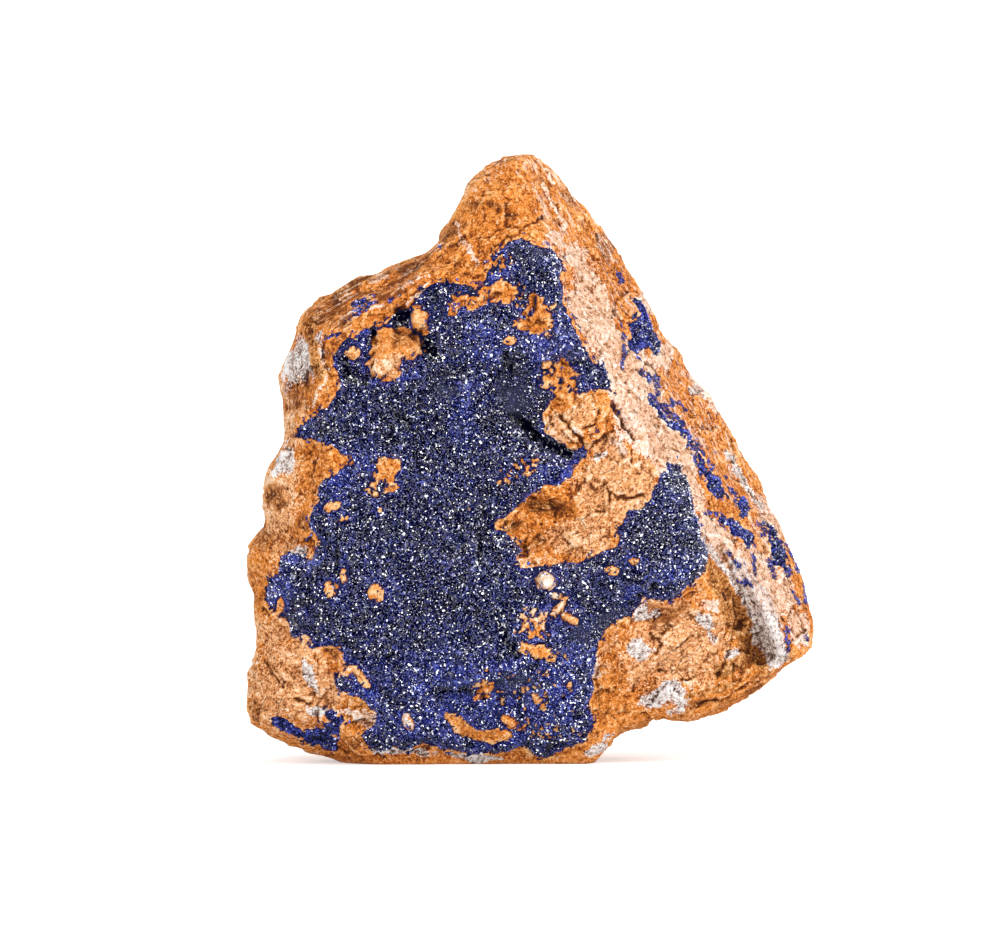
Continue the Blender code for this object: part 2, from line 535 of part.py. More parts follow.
def main():
    clear_scene()
    specimen = bpy.data.collections.new("azurite_specimen")
    bpy.context.scene.collection.children.link(specimen)
    limonite = material("limonite", ROCK_COLOUR, 0.9)
    azurite = material("azurite", AZURITE_COLOUR, 0.25)
    rock = make_matrix(specimen, limonite)
    bm = bmesh_in_mm(rock)
    tree = BVHTree.FromBMesh(bm)
    bm.free()
    rng = random.Random(SEED)
    front = Ground(tree, (0.0, 0.0, 0.0), (0.0, -1.0, 0.0))
    rim = Ground(tree, (-24.5, 2.0, 69.8), (-0.30, -0.75, 0.58))
    flank = Ground(tree, *SHARED_FACES[0])
    carve(rock, crust("azurite_main_crust", front, MAIN_CRUST, specimen, azurite, rng, line_spots()))
    patches = [("foot_patch", front, FOOT_PATCH), ("rim_patch", rim, RIM_PATCH)]
    patches += [(f"flank_{number}", flank, outline) for number, outline in enumerate(FLANK_PATCHES, 1)]
    for name, ground, outline in patches:
        carve(rock, crust(f"azurite_{name}", ground, outline, specimen, azurite, rng))
    centre_on_floor(specimen.objects)


main()
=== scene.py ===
import math

import bmesh
import bpy
import numpy as np
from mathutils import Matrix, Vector, noise
from mathutils.bvhtree import BVHTree


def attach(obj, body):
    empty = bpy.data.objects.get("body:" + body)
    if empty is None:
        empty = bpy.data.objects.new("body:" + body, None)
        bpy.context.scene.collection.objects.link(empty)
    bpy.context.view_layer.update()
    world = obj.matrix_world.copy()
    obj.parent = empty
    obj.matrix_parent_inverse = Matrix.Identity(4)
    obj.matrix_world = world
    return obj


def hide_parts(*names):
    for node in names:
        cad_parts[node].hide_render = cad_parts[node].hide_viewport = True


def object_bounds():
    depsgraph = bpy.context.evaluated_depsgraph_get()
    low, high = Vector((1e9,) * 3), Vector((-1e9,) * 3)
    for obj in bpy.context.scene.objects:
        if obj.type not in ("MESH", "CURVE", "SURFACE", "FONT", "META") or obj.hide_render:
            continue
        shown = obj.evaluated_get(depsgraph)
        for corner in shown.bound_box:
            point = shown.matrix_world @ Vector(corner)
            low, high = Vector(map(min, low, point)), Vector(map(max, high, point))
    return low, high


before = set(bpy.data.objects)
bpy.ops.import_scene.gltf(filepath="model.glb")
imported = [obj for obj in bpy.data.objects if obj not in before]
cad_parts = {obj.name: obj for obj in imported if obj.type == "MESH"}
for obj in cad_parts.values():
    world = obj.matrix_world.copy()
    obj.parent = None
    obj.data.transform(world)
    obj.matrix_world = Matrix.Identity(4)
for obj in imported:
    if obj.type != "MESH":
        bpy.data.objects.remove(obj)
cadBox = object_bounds()
mm = 0.001

crustNodes = [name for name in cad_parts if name.startswith("azurite")]


# shader helpers
class Wire:
    # a shader socket that can be used in plain arithmetic

    def __init__(self, paint, socket):
        self.paint = paint
        self.socket = socket

    def math(self, operation, *values, clamp=False):
        made = self.paint.node(
            "ShaderNodeMath", {"operation": operation, "use_clamp": clamp}, dict(enumerate(values))
        )
        return made("Value")

    def __add__(self, other):
        return self.math("ADD", self, other)

    def __radd__(self, other):
        return self.math("ADD", other, self)

    def __sub__(self, other):
        return self.math("SUBTRACT", self, other)

    def __rsub__(self, other):
        return self.math("SUBTRACT", other, self)

    def __mul__(self, other):
        return self.math("MULTIPLY", self, other)

    def __rmul__(self, other):
        return self.math("MULTIPLY", other, self)

    def clamped(self):
        return self.math("ADD", self, 0.0, clamp=True)

    def step(self, low, high):
        # 0 below low, 1 above high, eased between
        made = self.paint.node(
            "ShaderNodeMapRange", {"interpolation_type": "SMOOTHSTEP"},
            {"Value": self, "From Min": low, "From Max": high}
        )
        return made("Result")


class Paint:
    # a material and the nodes that make it

    def __init__(self, name):
        self.material = bpy.data.materials.new(name)
        self.material.use_nodes = True
        self.tree = self.material.node_tree
        self.shader = self.tree.nodes["Principled BSDF"]

    def node(self, kind, settings, sockets):
        made = self.tree.nodes.new(kind)
        for name, value in settings.items():
            if name == "stops":
                ramp = made.color_ramp
                while len(ramp.elements) < len(value):
                    ramp.elements.new(0.5)
                for element, (place, colour) in zip(ramp.elements, value):
                    element.position = place
                    element.color = colour
            else:
                setattr(made, name, value)
        for name, value in sockets.items():
            if isinstance(value, Wire):
                self.tree.links.new(value.socket, made.inputs[name])
            else:
                made.inputs[name].default_value = value
        return lambda output: Wire(self, made.outputs[output])

    def place(self, turn=(0.0, 0.0, 0.0), scale=(1.0, 1.0, 1.0)):
        # object coordinates in millimetres, turned and then stretched
        coords = self.node("ShaderNodeTexCoord", {}, {})("Object")
        turned = self.node(
            "ShaderNodeMapping", {}, {"Vector": coords, "Scale": (1.0 / mm,) * 3, "Rotation": turn}
        )("Vector")
        return self.node("ShaderNodeMapping", {}, {"Vector": turned, "Scale": scale})("Vector")

    def noise(self, where, size, detail=3.0, rough=0.55, twist=0.0):
        made = self.node(
            "ShaderNodeTexNoise", {},
            {"Vector": where, "Scale": 1.0 / size, "Detail": detail, "Roughness": rough, "Distortion": twist}
        )
        return made("Fac")

    def cells(self, where, size, feature="F1", output="Distance"):
        made = self.node("ShaderNodeTexVoronoi", {"feature": feature}, {"Vector": where, "Scale": 1.0 / size})
        return made(output)

    def ramp(self, share, *stops):
        # a colour for each share, from pairs of a place and a colour
        full = [(place, (*colour, 1.0)) for place, colour in stops]
        return self.node("ShaderNodeValToRGB", {"stops": full}, {"Fac": share})("Color")

    def stored(self, name):
        return self.node("ShaderNodeAttribute", {"attribute_name": name}, {})("Fac")

    def mix(self, share, low, high):
        # low where the share is 0, high where it is 1; 6, 7 and 2 are the node's colour sockets
        made = self.tree.nodes.new("ShaderNodeMix")
        made.data_type = "RGBA"
        for index, value in ((0, share), (6, low), (7, high)):
            if isinstance(value, Wire):
                self.tree.links.new(value.socket, made.inputs[index])
            else:
                made.inputs[index].default_value = value if index == 0 else (*value, 1.0)
        return Wire(self, made.outputs[2])

    def feed(self, **sockets):
        # sockets of the shader, named with _ for a space
        for name, value in sockets.items():
            socket = self.shader.inputs[name.replace("_", " ")]
            if isinstance(value, Wire):
                self.tree.links.new(value.socket, socket)
            else:
                socket.default_value = value

    def bump(self, height, distance):
        return self.node("ShaderNodeBump", {}, {"Height": height, "Distance": distance})("Normal")


# mesh helpers
def addObject(name, mesh, replaced=()):
    made = bpy.data.objects.new(name, mesh)
    bpy.context.scene.collection.objects.link(made)
    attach(made, "root")
    if replaced:
        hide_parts(*replaced)
    return made


def settled(obj):
    # the mesh as its modifiers leave it, with the modifiers gone
    graph = bpy.context.evaluated_depsgraph_get()
    mesh = bpy.data.meshes.new_from_object(obj.evaluated_get(graph))
    obj.modifiers.clear()
    old = obj.data
    obj.data = mesh
    bpy.data.meshes.remove(old)
    return mesh


def coordinates(mesh):
    spots = np.empty(len(mesh.vertices) * 3)
    mesh.vertices.foreach_get("co", spots)
    return spots.reshape(-1, 3) / mm


def normals(mesh):
    facing = np.empty(len(mesh.vertices) * 3)
    mesh.vertex_normals.foreach_get("vector", facing)
    return facing.reshape(-1, 3)


def moveTo(mesh, spots):
    mesh.vertices.foreach_set("co", (spots * mm).ravel())
    mesh.update()


def storeMask(mesh, name, values):
    layer = mesh.attributes.new(name, "FLOAT", "POINT")
    layer.data.foreach_set("value", np.clip(values, 0.0, 1.0))


def ease(values, low, high):
    share = np.clip((values - low) / (high - low), 0.0, 1.0)
    return share * share * (3.0 - 2.0 * share)


def noiseAt(spots, size, octaves=3, seed=0.0, stretch=(1.0, 1.0, 1.0)):
    # fractal noise from about -1 to 1 at each spot
    shift = Vector((seed, seed * 1.7, seed * 0.6))
    scaled = spots / size * np.array(stretch)
    return np.array([noise.fractal(Vector(p) + shift, 1.0, 2.1, octaves) for p in scaled])


def chipsAt(spots, size, seed):
    # tilted flat facets with small steps between them, like broken rock
    shift = Vector((seed, -seed, seed * 0.3))
    heights = []
    for p in spots / size:
        where = Vector(p) + shift
        near = noise.voronoi(where)[1][0]
        tilt = noise.cell_vector(near * 13.7) * 2.0 - Vector((1.0, 1.0, 1.0))
        heights.append((where - near).dot(tilt))
    return np.array(heights)


# the lists below are drawn on a chart of X and Z in millimetres, a little smaller than the specimen
chartValues = {"middle": (-4.5, 45.0), "drawn": (-4.1, 44.3), "scale": 0.984}


def chart(spots):
    # where each spot lies on the chart
    return (spots[:, (0, 2)] - chartValues["middle"]) * chartValues["scale"] + chartValues["drawn"]


def awayFrom(spots, line):
    # distance on the chart from each spot to a line
    flat = chart(spots)
    nearest = np.full(len(flat), 1e9)
    for start, end in zip(line, line[1:]):
        a, run = np.array(start), np.array(end) - np.array(start)
        along = np.clip(((flat - a) @ run) / (run @ run), 0.0, 1.0)
        nearest = np.minimum(nearest, np.linalg.norm(flat - (a + along[:, None] * run), axis=1))
    return nearest


def awayFromSpot(spots, x, z, width, height, turn=0.0):
    # distance from an oval, as a share of its half width and half height
    c, s = math.cos(math.radians(turn)), math.sin(math.radians(turn))
    flat = chart(spots)
    dx, dz = flat[:, 0] - x, flat[:, 1] - z
    return np.hypot((dx * c + dz * s) / width, (dz * c - dx * s) / height)


# the specimen's whole surface
surfaceValues = {
    "voxel": 0.81,
    "smoothing": 2,
    "crustDepth": 2.0,
    "edgeReach": 0.05,    # how far the crust spreads over its bed's gap
    "edgeWander": 0.75,
    "patchWander": 1.0,   # the flank's patches are looser clusters
    "windowWander": 0.4,
    "shake": 0.45,        # how far drawn lines stray
    "shakeSize": 1.3,
}
# small windows in the crust: x, z, half width, half height, turn, how far the rock in them stands out
crustWindows = [
    (-1.2, 64.8, 0.9, 0.7, 0, 0.3), (-2.8, 62.4, 0.9, 0.6, 20, 0.4), (13.3, 47.6, 0.6, 0.9, 30, 0.0),
    (-28.8, 26.1, 0.9, 1.1, 0, 0.5), (-22.2, 25.6, 1.1, 1.2, 0, 0.4), (-27.0, 28.0, 0.4, 0.9, 0, 0.2),
    (-6.6, 10.9, 1.4, 0.5, 35, 0.3), (-17.6, 6.6, 0.8, 1.3, 20, 0.7), (2.6, 27.4, 1.5, 1.2, -40, 1.1),
    (4.6, 23.6, 0.6, 1.5, -35, 0.8), (6.0, 21.9, 1.3, 0.5, -25, 0.7), (4.2, 25.2, 0.6, 0.5, 0, 0.3),
    (12.2, 28.8, 0.9, 0.6, 0, 0.2), (15.4, 30.2, 0.7, 0.4, 0, 0.2), (6.2, 11.8, 0.4, 0.6, 0, 0.2),
    (-28.6, 38.2, 1.1, 0.6, 15, 0.2), (-26.8, 36.5, 0.5, 0.3, 0, 0.1), (-21.6, 37.6, 0.3, 0.3, 0, 0.1),
    (3.0, 56.3, 1.0, 0.6, 30, 0.3), (4.8, 54.6, 0.7, 0.7, 0, 0.3), (-25.6, 60.6, 1.0, 1.0, 0, 0.4),
    (-15.8, 65.4, 1.1, 2.0, 15, 0.7), (-21.0, 58.6, 2.4, 2.0, -30, 0.4), (-17.4, 61.6, 2.2, 1.8, 20, 0.6),
    (-7.8, 67.8, 1.2, 0.6, 25, 0.2), (-6.6, 68.3, 0.7, 0.5, -30, 0.2),
    (-24.4, 13.2, 0.5, 1.6, 35, 0.3), (-26.4, 14.4, 1.1, 0.5, 0, 0.2), (6.6, 46.8, 0.9, 0.5, 10, 0.4),
    (8.8, 47.6, 0.8, 0.8, 0, 0.9), (-10.6, 67.4, 0.6, 1.5, -35, 0.0), (-5.8, 73.8, 0.5, 1.0, 10, 0.1),
    (1.6, 9.4, 1.4, 0.5, -55, 0.1), (-36.4, 23.2, 0.4, 1.2, -15, 0.1), (-2.6, 6.4, 1.6, 0.6, -35, 0.3),
    (-21.8, 42.8, 0.5, 0.5, 0, 0.3), (2.6, 13.8, 0.5, 0.4, 0, 0.2),
]
# bare strips along the crust's edge: half width, then the line as x, z
bareStrips = [
    (1.2, [(-35.4, 50.0), (-32.6, 52.2), (-30.4, 53.7), (-29.2, 55.2), (-29.0, 57.0), (-29.7, 58.2),
        (-29.9, 60.6), (-28.4, 62.8), (-26.1, 64.5), (-23.4, 65.7), (-21.6, 66.0), (-20.2, 67.4),
        (-18.4, 68.3), (-16.8, 70.1), (-15.5, 71.4), (-13.6, 72.3), (-9.9, 72.0), (-7.4, 71.7)]),
    (1.2, [(-6.4, 75.6), (-3.7, 77.9), (-0.8, 79.0), (1.7, 77.6), (4.2, 77.1), (6.3, 74.6)]),
    (1.0, [(6.2, 71.6), (6.3, 68.6), (7.6, 65.3), (9.0, 62.6), (10.4, 60.2)]),
    (1.0, [(-0.6, 30.4), (3.0, 30.9), (7.0, 31.3), (12.0, 33.3)]), (0.9, [(25.4, 47.6), (27.6, 43.6)]),
]
# grooves and steps in the crust: half width, depth, then the line as x, z
crustFolds = [
    (0.62, 1.6, [(-2.0, 51.4), (-0.4, 49.8), (1.5, 48.2), (3.6, 46.8), (5.7, 45.7)]),
    (0.6, 0.6, [(-6.2, 40.6), (-6.9, 35.4), (-7.0, 30.4)]),
    (0.5, 0.7, [(-12.6, 11.0), (-9.4, 11.3), (-6.0, 10.2)]), (1.1, 2.2, [(-18.4, 66.2), (-18.4, 64.4)]),
    (0.9, 1.3, [(-16.4, 63.2), (-14.6, 61.4), (-13.4, 60.4)]),
    (0.7, 1.3, [(-22.6, 63.6), (-23.4, 60.6), (-22.8, 57.4)]), (0.7, 1.0, [(-3.2, 60.4), (-2.4, 57.6)]),
    (0.9, 1.0, [(-27.0, 59.4), (-26.2, 57.0), (-24.2, 56.2)]), (0.6, 0.8, [(-12.4, 26.0), (-10.8, 23.4)]),
    (0.6, 0.9, [(-20.0, 52.4), (-17.4, 50.6), (-15.8, 47.6)]), (0.7, 0.9, [(-4.0, 20.6), (-1.6, 16.4)]),
    (0.6, 0.8, [(-29.4, 34.0), (-27.8, 31.2), (-28.2, 28.4)]), (0.6, 0.9, [(14.8, 24.4), (18.6, 26.6)]),
]
# places where rock shows through the crust as grains: x, z, half width, half height, turn, share
thinCrust = [
    (0.6, 21.0, 3.4, 3.0, 0, 0.36), (1.6, 17.0, 4.6, 1.5, -15, 0.34), (1.0, 66.6, 3.2, 4.4, 15, 0.36),
    (4.6, 57.0, 4.0, 2.6, -20, 0.34), (-8.0, 69.0, 4.0, 1.6, 20, 0.30), (-20.0, 57.4, 2.6, 1.2, 0, 0.22),
    (-1.0, 43.6, 4.0, 1.6, 25, 0.26), (5.6, 31.6, 3.2, 1.2, 10, 0.24), (-1.0, 11.0, 9.0, 3.4, -10, 0.09),
    (-6.4, 12.2, 1.5, 0.7, 15, 0.4), (-21.4, 41.2, 2.6, 2.4, 0, 0.22), (-27.0, 14.6, 3.6, 1.8, -30, 0.22),
    (-4.0, 73.6, 2.4, 1.8, 0, 0.26), (3.0, 5.0, 6.0, 1.6, -10, 0.2), (-24.6, 64.6, 3.0, 1.4, 35, 0.16),
]


def wholeSurface():
    # matrix and crusts grown into one even skin
    bm = bmesh.new()
    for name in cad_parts:
        bm.from_mesh(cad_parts[name].data)
    bmesh.ops.remove_doubles(bm, verts=bm.verts, dist=1e-6)
    mesh = bpy.data.meshes.new("wholeSurface")
    bm.to_mesh(mesh)
    bm.free()
    skin = bpy.data.objects.new("wholeSurface", mesh)
    bpy.context.scene.collection.objects.link(skin)
    even = skin.modifiers.new("even", "REMESH")
    even.mode = "VOXEL"
    even.voxel_size = surfaceValues["voxel"] * mm
    soft = skin.modifiers.new("soft", "SMOOTH")
    soft.iterations = surfaceValues["smoothing"]
    settled(skin)
    return skin


def refine(skin, chosen):
    # halves the edges of the chosen faces and evens the new points
    bm = bmesh.new()
    bm.from_mesh(skin.data)
    bm.faces.ensure_lookup_table()
    edges = {edge for index in chosen for edge in bm.faces[index].edges}
    cut = bmesh.ops.subdivide_edges(bm, edges=list(edges), cuts=1, use_grid_fill=True)
    fresh = list({g for g in cut["geom_inner"] if isinstance(g, bmesh.types.BMVert)})
    bmesh.ops.smooth_vert(bm, verts=fresh, factor=0.5, use_axis_x=True, use_axis_y=True, use_axis_z=True)
    bm.to_mesh(skin.data)
    bm.free()


def treeOf(names):
    bm = bmesh.new()
    for name in names:
        bm.from_mesh(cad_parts[name].data)
    tree = BVHTree.FromBMesh(bm)
    bm.free()
    return tree


def awayFromTree(spots, tree):
    return np.array([tree.find_nearest(Vector(p * mm))[3] for p in spots]) / mm


def crustShare(spots):
    # above 0 where crystals grow, in millimetres in from the crust's edge
    v = surfaceValues
    fromCrust = awayFromTree(spots, treeOf(crustNodes))
    fromRock = awayFromTree(spots, treeOf(["limonite_matrix"]))
    fromMain = awayFromTree(spots, treeOf(["azurite_main_crust"]))
    share = np.minimum(fromRock, v["crustDepth"]) - fromCrust + v["edgeReach"]
    share += v["edgeWander"] * noiseAt(spots, 2.4, 4, 5.0)
    loose = ease(fromMain - fromCrust, 0.5, 2.0)
    share += loose * v["patchWander"] * (noiseAt(spots, 1.5, 3, 15.0) - 0.35)
    front = spots[:, 1] < 0.0
    ragged = v["windowWander"] * noiseAt(spots, 0.9, 3, 8.0)
    grains = noiseAt(spots, 0.75, 3, 71.0)
    for x, z, width, height, turn, _ in crustWindows:
        near = awayFromSpot(spots, x, z, width, height, turn) + ragged
        share = np.where(front, np.minimum(share, (near - 1.0) * min(width, height) + 0.3), share)
    for width, line in bareStrips:
        share = np.where(front, np.minimum(share, awayFrom(spots, line) - width + 0.5 * ragged + 0.2), share)
    for x, z, width, height, turn, amount in thinCrust:
        near = awayFromSpot(spots, x, z, width, height, turn)
        shown = (0.75 - grains) - amount * 2.2 * (1.0 - ease(near, 0.4, 1.1))
        share = np.where(front & (near < 1.1), np.minimum(share, shown * 1.6 + 0.1), share)
    return share


def shakenSpots(spots):
    # the spots moved about a little, so that drawn lines run unevenly
    v = surfaceValues
    moved = spots.copy()
    moved[:, 0] += v["shake"] * noiseAt(spots, v["shakeSize"], 2, 101.0)
    moved[:, 2] += v["shake"] * noiseAt(spots, v["shakeSize"], 2, 111.0)
    return moved


def foldDepth(spots):
    # how deep the crust's grooves run at each spot, in millimetres
    shaken = shakenSpots(spots)
    depths = [
        depth * (1.0 - ease(awayFrom(shaken, line), 0.0, width * 1.4)) for width, depth, line in crustFolds
    ]
    uneven = np.clip(0.75 + 0.8 * noiseAt(spots, 1.8, 3, 121.0), 0.2, 1.2)
    return np.maximum.reduce(depths) * uneven * (spots[:, 1] < 0.0)


# limonite matrix
matrixValues = {
    "chipSize": 4.4,
    "chipHeight": 0.45,
    "smallChipSize": 1.5,
    "smallChipHeight": 0.15,
    "grainSize": 0.7,
    "grain": 0.09,
    "pitSize": 1.1,
    "pits": 0.15,
    "wormSize": 1.4,
    "worms": 0.12,
    "underCrust": 0.8,    # how far the rock lies below the crust's surface
    "bump": 0.6,
}
# cracks in the rock: half width, depth, then the line as x, z
rockCracks = [
    (0.4, 0.8, [(12.3, 53.4), (13.7, 51.1), (15.4, 48.0)]),
    (0.45, 0.8, [(4.8, 51.5), (6.3, 49.6), (7.9, 47.4)]),
    (0.28, 0.4, [(11.1, 41.5), (12.0, 39.6), (11.7, 37.7)]),
    (0.28, 0.4, [(12.3, 40.1), (15.2, 39.3), (17.1, 39.6)]), (0.28, 0.4, [(14.9, 46.6), (15.2, 44.7)]),
    (0.28, 0.35, [(-6.2, 75.2), (-2.1, 77.9), (2.2, 80.4)]), (0.35, 0.6, [(-30.3, 62.3), (-29.8, 58.1)]),
    (0.28, 0.4, [(-9.4, 88.0), (-5.0, 89.2), (-1.4, 90.0)]), (0.3, 0.4, [(-38.6, 15.4), (-36.8, 12.6)]),
    (0.3, 0.4, [(-34.4, 9.8), (-31.6, 9.2)]), (0.28, 0.4, [(24.0, 8.6), (28.4, 9.4), (32.4, 12.0)]),
    (0.28, 0.4, [(8.0, 49.6), (9.6, 50.2), (10.2, 52.4)]), (0.28, 0.3, [(-30.4, 13.4), (-31.2, 16.2)]),
    (0.28, 0.4, [(17.6, 8.8), (20.2, 12.2), (24.4, 13.0)]),
    (0.28, 0.4, [(28.0, 13.0), (29.6, 16.9), (33.0, 16.6)]),
]
# pale raised lines, the edges of thin layers
rockShells = [
    (0.3, 0.45, [(-30.8, 63.4), (-30.6, 61.2), (-30.0, 59.0), (-29.7, 56.7), (-30.8, 54.8), (-31.4, 52.6)]),
    (0.25, 0.4, [(-27.4, 65.3), (-26.0, 66.3), (-23.9, 67.1), (-21.1, 67.5)]),
    (0.25, 0.4, [(-17.8, 67.9), (-15.2, 69.6), (-14.4, 70.7)]),
    (0.25, 0.4, [(-18.6, 70.1), (-16.9, 71.2), (-14.4, 72.0)]),
    (0.25, 0.3, [(2.5, 87.5), (3.6, 85.5)]), (0.25, 0.3, [(2.2, 85.2), (3.6, 82.1), (5.3, 79.1)]),
    (0.3, 0.3, [(-12.1, 69.8), (-9.9, 66.0)]),
    (0.3, 0.4, [(29.0, 31.6), (31.2, 27.0), (33.0, 22.4)]), (0.3, 0.4, [(12.6, 50.4), (13.9, 47.8)]),
]
# loose clusters of crystals on the rock: half width, then the line as x, z
crystalTrails = [
    (0.6, [(13.4, 71.9), (13.8, 70.9)]), (0.5, [(14.2, 61.6), (13.8, 58.4)]),
    (0.4, [(13.7, 64.6), (14.2, 62.0)]), (0.7, [(17.6, 69.6), (19.4, 66.4)]),
    (0.9, [(16.8, 57.4), (18.6, 56.6), (19.2, 54.4)]), (0.5, [(19.4, 52.6), (20.4, 51.8)]),
    (0.5, [(21.0, 53.6), (21.4, 52.0)]), (0.5, [(22.2, 53.0), (23.2, 51.9)]),
    (0.9, [(18.0, 54.2), (20.6, 51.6), (23.4, 48.2)]), (1.2, [(24.4, 47.0), (26.4, 43.4), (28.0, 39.6)]),
    (0.4, [(29.0, 42.2), (29.2, 41.8)]), (0.4, [(29.4, 40.8), (29.7, 40.3)]),
    (0.5, [(26.0, 37.1), (27.0, 36.8)]), (1.1, [(27.6, 36.6), (30.4, 34.8), (32.4, 32.6)]),
    (0.8, [(30.2, 39.6), (31.8, 37.2)]), (0.8, [(29.6, 31.0), (31.0, 29.4)]),
    (0.5, [(33.0, 31.0), (33.4, 28.2)]), (0.8, [(31.0, 27.3), (32.4, 26.7)]),
    (1.1, [(34.4, 35.0), (36.8, 32.0), (38.4, 27.8)]), (0.9, [(38.4, 31.8), (39.6, 30.2), (40.2, 28.6)]),
    (0.5, [(40.7, 27.6), (41.2, 23.6)]), (0.7, [(37.9, 20.0), (38.2, 16.6)]),
    (0.4, [(40.8, 20.0), (41.0, 18.0)]), (0.5, [(38.8, 25.4), (39.8, 23.4)]),
    (0.9, [(-25.2, 66.6), (-22.4, 68.0)]), (0.6, [(-29.4, 62.9), (-28.4, 63.3)]),
    (0.4, [(-27.7, 63.2), (-27.2, 63.6)]), (0.4, [(-26.9, 65.2), (-25.8, 65.6)]),
    (0.5, [(-20.4, 68.4), (-19.4, 68.7)]), (0.4, [(-12.8, 76.0), (-12.6, 75.8)]),
    (0.35, [(10.0, 50.2), (10.1, 49.0)]), (0.5, [(12.2, 53.2), (13.4, 51.6)]),
    (0.4, [(24.0, 46.4), (25.4, 42.4)]), (0.6, [(35.4, 29.8), (36.4, 27.6)]),
    (0.5, [(22.6, 49.6), (21.6, 51.4)]), (0.5, [(8.6, 55.8), (6.0, 55.0)]),
    (0.4, [(15.4, 38.4), (16.2, 37.4)]), (0.4, [(-32.4, 33.2), (-30.8, 34.8)]),
]


